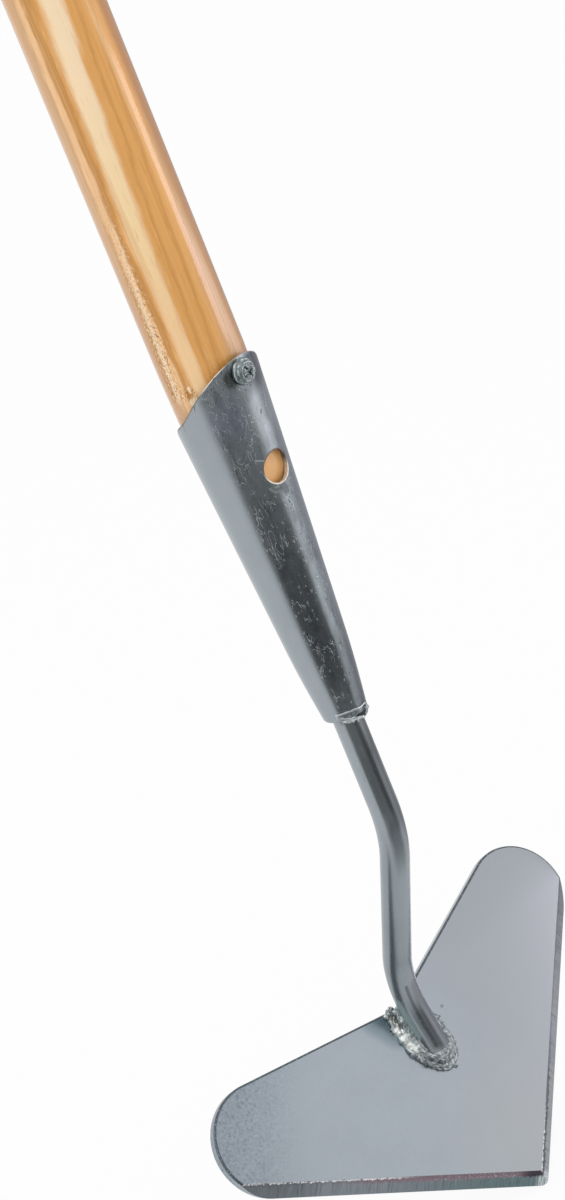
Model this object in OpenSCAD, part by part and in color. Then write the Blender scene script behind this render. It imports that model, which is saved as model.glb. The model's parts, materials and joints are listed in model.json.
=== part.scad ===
// Warren hoe: a heart-shaped blade is welded to a bent steel neck, and the neck runs up
// into a rolled socket that holds a round wooden handle with one screw.
// Frame: the origin is on the handle axis, level with the top of the socket's tongue.
// +Z runs up the handle, and +X is the side of the tongue, the holes and the blade's face.

/* [Handle] */
// Diameter of the round shaft
handle_d = 28; // [24:0.5:34]
// Length of the free shaft above the socket
shaft_len = 1405; // [400:5:1700]
// Radius rounded onto the grip end
grip_end_r = 11; // [2:0.5:12]
// Gap between the wood and the inside of the socket
wood_fit = 0.1; // [0.05:0.05:0.5]
// Space left between the end of the wood and the top of the neck
wood_end_gap = 5; // [1:0.5:15]

/* [Socket] */
// Length from the top of the tongue to the lower end
socket_len = 126; // [110:1:160]
// Thickness of the rolled sheet
socket_wall = 1.5; // [1:0.1:2.5]
// Gap between the shaft and the top of the tongue
tongue_gap = 1; // [0.6:0.1:2]
// Outside diameter at the waist, where the taper steepens
waist_d = 19.2; // [17:0.1:22]
// Height of the waist above the lower end
waist_h = 18.5; // [10:0.5:30]
// Thickness of the drawn-in lower end
end_wall = 2.3; // [1:0.1:4]
// How far the slanted mouth falls from the tongue to the sides
mouth_side_drop = 14.4; // [6:0.1:16]
// How far the slanted mouth falls from the tongue to the back
mouth_drop = 20.5; // [17:0.5:40]
// Width of the open seam down the back
seam_w = 0.6; // [0.2:0.1:2]
// Diameter of the spare nail hole
nail_hole_d = 11; // [4:0.5:12]
// Distance from the top of the tongue down to the nail hole
nail_hole_drop = 37.5; // [30:0.5:60]

/* [Screw] */
// Diameter of the shank
screw_d = 4; // [3:0.1:5]
// Length of the shank under the head
screw_len = 22; // [12:0.5:24]
// Length of the point
screw_point = 5; // [2:0.5:6]
// Diameter of the head
screw_head_d = 8.4; // [7:0.1:10]
// Height of the head at its middle
screw_head_h = 3.2; // [1.5:0.1:4]
// Height of the head at its rim
screw_rim_h = 1.2; // [0.5:0.1:1.4]
// Distance from the top of the tongue down to the screw
screw_drop = 5.2; // [5:0.1:12]
// Length of each arm of the cross recess
recess_l = 4.6; // [2:0.1:6]
// Width of each arm of the cross recess
recess_w = 1.1; // [0.6:0.1:1.6]
// Depth of the cross recess
recess_h = 1.4; // [0.4:0.1:1.5]
// Gap around the shank in the socket and in the wood
screw_fit = 0.05; // [0.02:0.01:0.3]

/* [Neck] */
// Diameter of the round bar
rod_d = 10; // [8:0.1:12]
// Length of the bar inside the socket
neck_insert = 26; // [10:0.5:40]
// Gap between the bar and the lower end of the socket
neck_fit = 0.15; // [0.05:0.05:0.5]
// Distance from the socket to the corner of the first bend
neck_run = 46.5; // [20:0.5:100]
// Distance between the corners of the two bends
neck_fall = 72.5; // [50:0.5:120]
// Distance from the corner of the second bend to the end of the bar
neck_foot = 30.5; // [24:0.5:60]
// Angle by which the first bend leads the bar back
bend_back = 24.5; // [10:0.5:40]
// Radius of the first bend
bend_back_r = 55; // [20:1:70]
// Radius of the second bend
bend_fore_r = 40; // [20:1:45]
// Angle between the foot of the bar and the blade's face
foot_angle = 20.5; // [12:0.5:30]
// Height of the bar's centre over the face at the end of the bar
foot_h = 1.25; // [0:0.05:4]

/* [Blade] */
// Angle between the blade and the handle
blade_angle = 33; // [20:0.5:60]
// Width across the two lobes
blade_w = 180; // [120:1:240]
// Angle between the two cutting edges
tip_angle = 105; // [80:0.5:120]
// Radius of the lobes
lobe_r = 19.5; // [10:0.5:26]
// Angle of the notch between the lobes
notch_angle = 150.5; // [120:0.5:165]
// Radius on the point of the blade
tip_r = 2.5; // [0.5:0.1:6]
// Thickness of the plate
plate_t = 4; // [2.5:0.1:6]
// Width of the ground bevel on the face
bevel_w = 4.5; // [2:0.1:8]
// Thickness left at the cutting edge
edge_land = 0.5; // [0.2:0.05:1]
// Distance from the end of the bar to the point of the blade
tip_drop = 59; // [45:0.5:90]

/* [Welds] */
// Width of the weld on the blade
blade_weld_w = 17; // [14:0.5:20]
// Width of the crown of the weld on the blade
blade_weld_crown_w = 11.5; // [10:0.5:13]
// Height of the weld on the blade
blade_weld_h = 4.4; // [2:0.1:6]
// Thickness of the weld at its toe
blade_weld_toe = 0.6; // [0.2:0.1:1]
// How far the weld runs past the end of the bar
blade_weld_past = 7; // [6:0.5:10]
// How far the weld runs back along the bar
blade_weld_back = 20.5; // [14:0.5:22]
// Radius of the bead under the socket
socket_weld_r = 3.2; // [2:0.1:4]
// Distance from the socket down to the centre of that bead
socket_weld_drop = 1; // [0.2:0.1:1.5]
// Angle that this bead covers, centred on the blade's side
socket_weld_arc = 150; // [60:1:200]

/* [Hidden] */
$fn = 96;
hull_fn = 32;

wood_colour = [0.86, 0.68, 0.46];
socket_colour = [0.50, 0.54, 0.57];
neck_colour = [0.44, 0.48, 0.51];
blade_colour = [0.64, 0.68, 0.71];
weld_colour = [0.72, 0.75, 0.76];
screw_colour = [0.60, 0.63, 0.65];

// Overrun of the cutting solids
over = 2;

// Radii of the socket and of what it holds
handle_r = handle_d / 2;
rod_r = rod_d / 2;
mouth_r = handle_r + tongue_gap + socket_wall;
waist_r = waist_d / 2;
socket_end_r = rod_r + neck_fit + end_wall;
waist_z = waist_h - socket_len;
taper = (mouth_r - waist_r) / -waist_z;
taper_angle = atan(taper);
wood_end_z = neck_insert + wood_end_gap - socket_len;
nail_hole_r = nail_hole_d / 2;
screw_r = screw_d / 2;
screw_head_r = screw_head_d / 2;
screw_dome_h = screw_head_h - screw_rim_h;
screw_dome_r = (screw_head_r * screw_head_r + screw_dome_h * screw_dome_h) / (2 * screw_dome_h);

// Bends of the neck: the bar swells a little there, and the straight runs lap into them
bend_swell = 0.05;
bend_lap = 0.4;
bend_fore = bend_back + blade_angle - foot_angle;
back_tangent = bend_back_r * tan(bend_back / 2);
fore_tangent = bend_fore_r * tan(bend_fore / 2);

// Outline of the blade, with the point at the origin and the notch along +Y
half_tip = tip_angle / 2;
half_notch = notch_angle / 2;
lobe_x = blade_w / 2 - lobe_r;
lobe_y = (lobe_x + lobe_r * cos(half_tip)) / tan(half_tip) + lobe_r * sin(half_tip);
edge_end = [lobe_x + lobe_r * cos(half_tip), lobe_y - lobe_r * sin(half_tip)];
notch_start = [lobe_x - lobe_r * cos(half_notch), lobe_y + lobe_r * sin(half_notch)];
notch_y = notch_start.y - notch_start.x / tan(half_notch);
tip_run = tip_r / tan(half_tip);
bevel_slope = (plate_t - edge_land) / bevel_w;

// Outside radius of the upper taper at a height
function taper_r(z) = mouth_r + taper * z;

// Inside radius of the upper taper at a height
function bore_r(z) = taper_r(z) - socket_wall;

// A point of the outline on the other half of the blade
function across(p) = [-p.x, p.y];

// Children stand on the socket's taper on the blade's side, with +Z out of the wall
module on_taper(drop) {
    translate([taper_r(-drop), 0, -drop])
        rotate([0, 90 + taper_angle, 0])
            children();
}

// Solid that is cut away above the mouth, which slants more in front than behind
module mouth_cut() {
    reach = mouth_r + over;
    fore_slope = mouth_side_drop / mouth_r;
    back_slope = (mouth_drop - mouth_side_drop) / taper_r(-mouth_drop);
    rotate([90, 0, 0])
        linear_extrude(2 * reach, center = true)
            polygon([
                [-reach, -mouth_side_drop - reach * back_slope],
                [0, -mouth_side_drop],
                [reach, over * fore_slope],
                [reach, reach],
                [-reach, reach]
            ]);
}

// Half section of the socket's wall
module socket_section() {
    polygon([
        [mouth_r, 0],
        [waist_r, waist_z],
        [socket_end_r, -socket_len],
        [rod_r + neck_fit, -socket_len],
        [waist_r - socket_wall, waist_z],
        [mouth_r - socket_wall, 0]
    ]);
}

// Shank of the screw with its point, grown by a gap
module screw_shank(gap) {
    translate([0, 0, screw_point - screw_len])
        cylinder(r = screw_r + gap, h = screw_len - screw_point);
    translate([0, 0, -screw_len])
        cylinder(r1 = 0, r2 = screw_r + gap, h = screw_point);
}

// Round handle: free shaft, taper under the mouth and taper inside the socket
module handle() {
    color(wood_colour)
        difference() {
            rotate_extrude() {
                polygon([
                    [0, wood_end_z],
                    [bore_r(wood_end_z) - wood_fit, wood_end_z],
                    [bore_r(-mouth_drop) - wood_fit, -mouth_drop],
                    [handle_r, 0],
                    [handle_r, shaft_len - grip_end_r],
                    [handle_r - grip_end_r, shaft_len],
                    [0, shaft_len]
                ]);
                translate([handle_r - grip_end_r, shaft_len - grip_end_r])
                    intersection() {
                        circle(grip_end_r);
                        square(grip_end_r);
                    }
            }
            on_taper(screw_drop)
                screw_shank(screw_fit);
        }
}

// Rolled socket: slanted mouth, seam down the back, screw hole and nail hole
module socket() {
    color(socket_colour)
        difference() {
            rotate_extrude()
                socket_section();
            mouth_cut();
            translate([-mouth_r - over, -seam_w / 2, -socket_len - over])
                cube([mouth_r + over, seam_w, socket_len + 2 * over]);
            on_taper(screw_drop)
                translate([0, 0, -mouth_r])
                    cylinder(r = screw_r + screw_fit, h = mouth_r + over);
            on_taper(nail_hole_drop)
                translate([0, 0, -mouth_r])
                    cylinder(r = nail_hole_r, h = mouth_r + over);
        }
}

// Domed screw with a cross recess
module screw() {
    color(screw_colour)
        on_taper(screw_drop) {
            difference() {
                intersection() {
                    cylinder(r = screw_head_r, h = screw_head_h);
                    translate([0, 0, screw_head_h - screw_dome_r])
                        sphere(screw_dome_r);
                }
                for (turn = [0, 90])
                    rotate(turn)
                        translate([-recess_l / 2, -recess_w / 2, screw_head_h - recess_h])
                            cube([recess_l, recess_w, recess_h + over]);
            }
            screw_shank(0);
        }
}

// Straight run of the bar along -Z, between two distances
module rod_run(from, to) {
    translate([0, 0, -to])
        cylinder(r = rod_r, h = to - from);
}

// Bend of the bar towards -X for a positive turn and towards +X for a negative one
module rod_bend(turn, radius) {
    mirror([turn < 0 ? 1 : 0, 0, 0])
        translate([-radius, 0, 0])
            rotate([-90, 0, 0])
                rotate_extrude(angle = abs(turn))
                    translate([radius, 0])
                        circle(rod_r + bend_swell);
}

// Children stand at the end of a bend, with the bar running on along -Z
module past_bend(turn, radius) {
    side = sign(turn);
    translate([-side * radius, 0, 0])
        rotate([0, turn, 0])
            translate([side * radius, 0, 0])
                children();
}

// Children stand at the start of the first bend
module at_first_bend() {
    translate([0, 0, back_tangent - socket_len - neck_run])
        children();
}

// Children stand at the start of the second bend
module at_second_bend() {
    at_first_bend()
        past_bend(bend_back, bend_back_r)
            translate([0, 0, back_tangent + fore_tangent - neck_fall])
                children();
}

// Children stand at the end of the bar
module at_foot() {
    at_second_bend()
        past_bend(-bend_fore, bend_fore_r)
            translate([0, 0, fore_tangent - neck_foot])
                children();
}

// Children stand on the blade's face under the end of the bar, +X out, the point along -Z
module at_face() {
    at_foot()
        rotate([0, -foot_angle, 0])
            translate([-foot_h, 0, 0])
                children();
}

// Whole bent bar, before its foot is cut to the face
module bar() {
    translate([0, 0, neck_insert - socket_len])
        rod_run(0, neck_insert + neck_run - back_tangent + bend_lap);
    at_first_bend() {
        rod_bend(bend_back, bend_back_r);
        past_bend(bend_back, bend_back_r)
            rod_run(-bend_lap, neck_fall - back_tangent - fore_tangent + bend_lap);
    }
    at_second_bend() {
        rod_bend(-bend_fore, bend_fore_r);
        past_bend(-bend_fore, bend_fore_r)
            rod_run(-bend_lap, neck_foot - fore_tangent);
    }
}

// Bent bar with its foot cut flat to sit on the blade
module neck() {
    color(neck_colour)
        difference() {
            bar();
            at_face()
                translate([-rod_d, -rod_d, -rod_d])
                    cube([rod_d, 2 * rod_d, rod_d + neck_foot]);
        }
}

// Heart outline: the flat between the tangent points, two lobes and the rounded point
module blade_outline() {
    tip_start = [tip_run * sin(half_tip), tip_run * cos(half_tip)];
    polygon([
        tip_start,
        edge_end,
        notch_start,
        [0, notch_y],
        across(notch_start),
        across(edge_end),
        across(tip_start)
    ]);
    for (side = [-1, 1])
        translate([side * lobe_x, lobe_y])
            circle(lobe_r);
    translate([0, tip_r / sin(half_tip)])
        circle(tip_r);
}

// Solid that is ground off one cutting edge, with the edge along +Y and the plate towards +X
module bevel_cut() {
    edge_len = norm(edge_end);
    reach = plate_t + over;
    rotate([90, 0, 0])
        translate([0, 0, -edge_len - lobe_r])
            linear_extrude(edge_len + 2 * lobe_r)
                polygon([
                    [bevel_w, 0],
                    [bevel_w, over],
                    [-reach, over],
                    [-reach, -(bevel_w + reach) * bevel_slope]
                ]);
}

// Heart-shaped plate with both cutting edges ground on the face
module blade() {
    color(blade_colour)
        at_face()
            translate([0, 0, -tip_drop])
                rotate([90, 0, 90])
                    difference() {
                        translate([0, 0, -plate_t])
                            linear_extrude(plate_t)
                                blade_outline();
                        for (side = [0, 1])
                            mirror([side, 0, 0])
                                rotate(half_tip)
                                    bevel_cut();
                    }
}

// Bead between the lower end of the socket and the bar
module socket_weld() {
    color(weld_colour)
        rotate(-socket_weld_arc / 2)
            rotate_extrude(angle = socket_weld_arc)
                intersection() {
                    translate([rod_r, -socket_len - socket_weld_drop])
                        circle(socket_weld_r);
                    translate([rod_r, -socket_len - 2 * socket_weld_r])
                        square([socket_weld_r, 2 * socket_weld_r]);
                }
}

// Mound of weld around the foot of the bar
module blade_weld() {
    low_z = blade_weld_w / 2 - blade_weld_past;
    high_z = blade_weld_back - blade_weld_w / 2;
    color(weld_colour)
        difference() {
            at_face()
                hull()
                    for (z = [low_z, high_z])
                        translate([0, 0, z])
                            rotate([0, 90, 0]) {
                                cylinder(d = blade_weld_w, h = blade_weld_toe, $fn = hull_fn);
                                cylinder(d = blade_weld_crown_w, h = blade_weld_h, $fn = hull_fn);
                            }
            bar();
        }
}

handle();
socket();
screw();
neck();
blade();
socket_weld();
blade_weld();
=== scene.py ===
"""Warren hoe: heart-shaped blade, bent neck, conical socket and long wooden handle.

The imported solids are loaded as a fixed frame. Each operator models one piece over its solid,
gives it a procedural finish and lets it ride on the frame.
"""

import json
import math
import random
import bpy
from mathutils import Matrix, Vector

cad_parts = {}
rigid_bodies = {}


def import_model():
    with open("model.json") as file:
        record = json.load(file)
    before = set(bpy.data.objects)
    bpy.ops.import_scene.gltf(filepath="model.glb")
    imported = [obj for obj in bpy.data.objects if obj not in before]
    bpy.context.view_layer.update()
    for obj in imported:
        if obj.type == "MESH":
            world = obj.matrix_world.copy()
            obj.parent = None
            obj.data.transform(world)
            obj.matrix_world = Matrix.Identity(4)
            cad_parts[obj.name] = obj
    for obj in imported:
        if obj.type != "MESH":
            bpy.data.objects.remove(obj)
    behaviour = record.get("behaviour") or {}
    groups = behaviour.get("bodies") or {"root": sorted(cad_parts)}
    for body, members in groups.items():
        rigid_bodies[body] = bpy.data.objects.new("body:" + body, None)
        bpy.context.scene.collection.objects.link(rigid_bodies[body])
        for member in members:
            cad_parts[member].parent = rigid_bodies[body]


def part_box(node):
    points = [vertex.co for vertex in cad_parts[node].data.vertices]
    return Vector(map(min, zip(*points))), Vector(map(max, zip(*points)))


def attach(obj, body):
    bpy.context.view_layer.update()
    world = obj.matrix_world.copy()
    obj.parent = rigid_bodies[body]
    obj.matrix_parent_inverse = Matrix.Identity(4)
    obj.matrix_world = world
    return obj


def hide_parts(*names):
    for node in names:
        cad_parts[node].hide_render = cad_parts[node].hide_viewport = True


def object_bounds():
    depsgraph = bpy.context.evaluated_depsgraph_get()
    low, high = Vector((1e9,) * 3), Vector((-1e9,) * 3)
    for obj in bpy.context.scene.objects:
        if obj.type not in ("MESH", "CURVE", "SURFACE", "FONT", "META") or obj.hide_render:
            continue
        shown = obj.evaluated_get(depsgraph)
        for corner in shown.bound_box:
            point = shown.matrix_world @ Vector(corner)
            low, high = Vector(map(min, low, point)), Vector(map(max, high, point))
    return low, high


bl_info = {
    "name": "Warren hoe",
    "version": (1, 0, 0),
    "blender": (4, 5, 0),
    "location": "3D View > Sidebar > Hoe",
    "description": "Models a warren hoe around its packed solids, on a white stage",
    "category": "Add Mesh",
}

import bmesh
import bpy
from mathutils import Matrix, Vector

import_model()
CAD_LOW, CAD_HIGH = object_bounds()
HANDLE_LOW, HANDLE_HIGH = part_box("handle")
SOCKET_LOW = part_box("socket")[0]
NECK_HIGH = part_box("neck")[1]
BLADE_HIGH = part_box("blade")[1]

MM = 0.001
TINY = 1e-6
WHITE = (1.0, 1.0, 1.0)
# Sides of the handle and the socket, of the bar, the screw and the punched holes, and of bores in wood
ROUND_SIDES = 160
BAR_SIDES = 72
BORE_SIDES = 64

# Camera that was fitted to the photograph; finishes of the blade and the screw run along its right axis
CAMERA_PLACE = (0.56648, -0.44148, 0.19377)
CAMERA_RIGHT = (0.671759, 0.649892, -0.355501)
CAMERA_UP = (-0.031176, 0.504286, 0.862974)
CAMERA_BACK = (0.740114, -0.568627, 0.359019)
CAMERA_LENS = 73.48
CAMERA_SENSOR = 36.0

# Level direction across the handle, square to the side that the camera sees
GRAIN_ACROSS = (0.615, 0.789, 0.0)
# Level direction from the handle towards the camera
TOWARDS = (0.789, -0.615, 0.0)
# Level directions to the middle of the studio's dark side and of its dim side
DARK_SIDE = (0.899, -0.438, 0.0)
DIM_SIDE = (-0.174, 0.985, 0.0)


def srgb(red, green, blue):
    """Linear colour for a screen colour with parts from 0 to 255."""
    parts = []
    for part in (red, green, blue):
        share = part / 255
        parts.append(share / 12.92 if share <= 0.04045 else ((share + 0.055) / 1.055) ** 2.4)
    return tuple(parts)


# Middle of the painted dark reflection that runs round the neck's first bend, and its widths, in millimetres
DARK_TAIL = ((4.6, -1.8, -162.0), (4.3, -1.9, -167.1), (3.3, -2.5, -171.8), (2.3, -2.2, -176.6),
             (0.8, -2.2, -181.2), (-3.6, -2.0, -192.0))
DARK_TAIL_WIDTHS = (3.0, 3.2, 3.1, 3.0, 2.8)
# Bands of the wood: a place across the grain, as a share of the radius, and a colour of the handle
WOOD_BANDS = (
    (-1.25, "gold"), (-1.02, "tan"), (-0.82, "tan"), (-0.76, "pale"), (-0.69, "pale"), (-0.64, "gold"),
    (-0.54, "gold"), (-0.48, "honey"), (-0.43, "pale"), (-0.35, "cream"), (-0.08, "cream"), (-0.01, "pale"),
    (0.06, "honey"), (0.18, "honey"), (0.23, "amber"), (0.30, "honey"), (0.42, "honey"), (0.49, "amber"),
    (0.57, "honey"), (0.68, "honey"), (0.80, "tan"), (1.25, "tan"),
)
# Single marks on the socket, one of them painted shade: two ends as radius, angle and height, a width and a
# colour
SOCKET_MARKS = (
    ((15.2, 6.2, -20.0), (15.3, 8.0, -19.0), 0.42, srgb(60, 62, 64)),
    ((14.4, -24, -32.2), (14.3, -13, -33.6), 0.30, srgb(150, 154, 156)),
    # Painted shade below and right of the nail hole
    ((13.8, 0, -43.4), (13.7, 4, -45.6), 2.20, srgb(92, 97, 104)),
    ((13.8, -16, -43.2), (13.7, -5, -44.4), 1.30, srgb(82, 90, 90)),
    ((13.8, -19, -42.6), (13.7, -14, -44.4), 0.50, srgb(122, 132, 132)),
    ((13.7, -14, -44.4), (13.6, -4, -44.9), 0.50, srgb(124, 134, 134)),
    ((13.8, -12, -43.0), (13.7, -6, -43.4), 0.40, srgb(138, 145, 144)),
)


def length(name, text, value):
    """A length in metres that a user may change."""
    return bpy.props.FloatProperty(
        name=name, description=text, default=value, min=0.0, precision=5, unit="LENGTH"
    )


def angle(name, text, degrees):
    """An angle that a user may change."""
    return bpy.props.FloatProperty(
        name=name, description=text, default=math.radians(degrees), subtype="ANGLE", unit="ROTATION"
    )


def share(name, text, value):
    """A share from 0 to 1 that a user may change."""
    return bpy.props.FloatProperty(
        name=name, description=text, default=value, min=0.0, max=1.0, subtype="FACTOR"
    )


def tone(name, text, value):
    """A colour that a user may change."""
    return bpy.props.FloatVectorProperty(
        name=name, description=text, default=value, size=3, min=0.0, max=1.0, subtype="COLOR"
    )


class HandleSettings(bpy.types.PropertyGroup):
    """Sizes and colours of the wooden handle."""

    radius: length("Radius", "Radius of the free shaft", HANDLE_HIGH.x)
    top: length("Top", "Height of the grip end", HANDLE_HIGH.z)
    depth: length("Depth", "How far the wood runs down into the socket", -HANDLE_LOW.z)
    grip_rounding: length("Grip rounding", "Rounding of the grip end", 11 * MM)
    fit: length("Fit", "Gap between the wood and the socket", 0.1 * MM)
    cream: tone("Cream", "Palest bands of the wood", srgb(246, 214, 162))
    pale: tone("Pale", "Pale streaks of the wood", srgb(236, 188, 134))
    honey: tone("Honey", "Main colour of the wood", srgb(226, 163, 82))
    gold: tone("Gold", "Darkest bands of the wood", srgb(192, 130, 44))
    amber: tone("Amber", "Fine darker lines of the wood", srgb(207, 144, 64))
    tan: tone("Tan", "Dull bands of the wood", srgb(202, 154, 101))
    # Painted shade: this brown darkens the handle's edges
    brown: tone("Brown", "Shaded bands of the wood", srgb(180, 120, 64))
    pore: tone("Pores", "Torn fibres and open pores", srgb(140, 92, 52))
    splinter: tone("Splinters", "Lifted fibres", srgb(252, 226, 190))
    lacquer: share("Lacquer", "Weight of the clear lacquer", 0.75)


class SocketSettings(bpy.types.PropertyGroup):
    """Sizes and colour of the rolled socket."""

    mouth_radius: length("Mouth radius", "Outside radius at the top of the tongue", 16.5 * MM)
    waist_radius: length("Waist radius", "Outside radius where the lower taper starts", 9.6 * MM)
    end_radius: length("End radius", "Outside radius at the lower end", 7.45 * MM)
    bore_radius: length("Bore radius", "Inside radius at the lower end", 5.15 * MM)
    length: length("Length", "Length from the tongue to the lower end", -SOCKET_LOW.z)
    waist_height: length("Waist height", "Height of the lower taper", 18.5 * MM)
    wall: length("Wall", "Thickness of the sheet", 1.5 * MM)
    mouth_side: length("Mouth side", "How far the mouth falls from the tongue to the sides", 14.4 * MM)
    mouth_drop: length("Mouth drop", "How far the mouth falls from the tongue to the back", 20.5 * MM)
    corner: length("Corner", "How far the mouth is cut back behind the sides", 1.5 * MM)
    seam: length("Seam", "Width of the open seam at the back", 0.6 * MM)
    rounding: length("Rounding", "Rounding of the sheet's edges", 0.45 * MM)
    hole_radius: length("Hole radius", "Radius of the spare nail hole", 5.5 * MM)
    hole_drop: length("Hole drop", "Distance from the tongue down to the nail hole", 37.5 * MM)
    hole_turn: angle("Hole turn", "How far the nail hole sits off the middle", 3.5)
    zinc: tone("Zinc", "Colour of the plating", srgb(157, 165, 170))


class ScrewSettings(bpy.types.PropertyGroup):
    """Sizes and colour of the domed screw."""

    drop: length("Drop", "Distance from the tongue down to the screw", 5.2 * MM)
    head_radius: length("Head radius", "Radius of the head", 4.2 * MM)
    head_height: length("Head height", "Height of the domed head", 3.2 * MM)
    rim_height: length("Rim height", "Height of the head's rim", 1.2 * MM)
    shank_radius: length("Shank radius", "Radius of the shank", 2 * MM)
    shank_length: length("Shank length", "Length of the shank", 22 * MM)
    point: length("Point", "Length of the point", 5 * MM)
    lean: angle("Lean", "How far the screw leans up out of the wall's square", 8)
    zinc: tone("Zinc", "Colour of the worn plating", srgb(178, 188, 189))


class NeckSettings(bpy.types.PropertyGroup):
    """Sizes and colour of the bent bar."""

    radius: length("Radius", "Radius of the bar", 5 * MM)
    top: length("Top", "Depth of the bar's upper end below the tongue", -NECK_HIGH.z)
    run: length("Run", "Distance from the socket to the corner of the first bend", 46.5 * MM)
    fall: length("Fall", "Distance between the corners of the two bends", 72.5 * MM)
    foot: length("Foot", "Distance from the second corner to the end of the bar", 30.5 * MM)
    back_turn: angle("Back turn", "Angle of the first bend", 24.5)
    fore_turn: angle("Fore turn", "Angle of the second bend", 37)
    back_radius: length("Back radius", "Radius of the first bend", 55 * MM)
    fore_radius: length("Fore radius", "Radius of the second bend", 40 * MM)
    foot_height: length("Foot height", "Height of the bar's centre over the face at its end", 1.25 * MM)
    zinc: tone("Zinc", "Colour of the plating", srgb(155, 163, 168))


class BladeSettings(bpy.types.PropertyGroup):
    """Sizes and colours of the heart-shaped blade."""

    half_width: length("Half width", "Half of the width across the lobes", BLADE_HIGH.y)
    tilt: angle("Tilt", "Angle between the blade and the handle", 33)
    tip_angle: angle("Tip angle", "Angle between the two cutting edges", 105)
    notch_angle: angle("Notch angle", "Angle of the notch between the lobes", 150.5)
    lobe_radius: length("Lobe radius", "Radius of the lobes", 19.5 * MM)
    tip_radius: length("Tip radius", "Radius on the worn point", 3.5 * MM)
    plate: length("Plate", "Thickness of the plate", 4 * MM)
    bevel: length("Bevel", "Width of the ground bevel on the face", 4.5 * MM)
    land: length("Land", "Thickness left at the cutting edge", 0.5 * MM)
    tip_drop: length("Tip drop", "Distance from the end of the bar to the point", 59 * MM)
    rounding: length("Rounding", "Rounding of the upper edges", 0.75 * MM)
    zinc: tone("Zinc", "Colour of the plated face", srgb(165, 173, 181))
    ground: tone("Ground steel", "Colour of the ground bevels", srgb(132, 138, 146))


class WeldSettings(bpy.types.PropertyGroup):
    """Grain and colours of the two welds."""

    voxel: length("Voxel", "Size of the cells that the beads are fused with", 0.22 * MM)
    rough: length("Roughness", "Height of the ripples", 0.55 * MM)
    bright: tone("Bright", "Colour of the weld's crests", srgb(194, 203, 205))
    soot: tone("Soot", "Colour of the weld's pits", srgb(70, 76, 80))


class StageSettings(bpy.types.PropertyGroup):
    """Floor, light and lens of the stage."""

    floor: length("Floor", "Depth of the floor below the tongue", -CAD_LOW.z + 0.5 * MM)
    reach: length("Reach", "Half of the floor's side", 6.0)
    paper: tone("Paper", "Colour of the floor", (0.86, 0.86, 0.86))
    room: tone("Room", "Dark side of the studio", (0.05, 0.053, 0.055))


class Link:
    """An output socket of a node tree. Arithmetic on it adds Math nodes."""

    def __init__(self, tree, socket):
        self.tree = tree
        self.socket = socket

    def math(self, operation, first, second=0.0):
        """A Math node on one or two values or links."""
        return Wiring(self.tree).node("ShaderNodeMath", {"operation": operation}, {0: first, 1: second})

    def __add__(self, other):
        return self.math("ADD", self, other)

    def __radd__(self, other):
        return self.math("ADD", other, self)

    def __sub__(self, other):
        return self.math("SUBTRACT", self, other)

    def __rsub__(self, other):
        return self.math("SUBTRACT", other, self)

    def __mul__(self, other):
        return self.math("MULTIPLY", self, other)

    def __rmul__(self, other):
        return self.math("MULTIPLY", other, self)

    def __truediv__(self, other):
        return self.math("DIVIDE", self, other)

    def __abs__(self):
        return self.math("ABSOLUTE", self)

    def sine(self):
        """Sine of an angle."""
        return self.math("SINE", self)

    def most(self, other):
        """The larger of two values."""
        return self.math("MAXIMUM", self, other)


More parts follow.
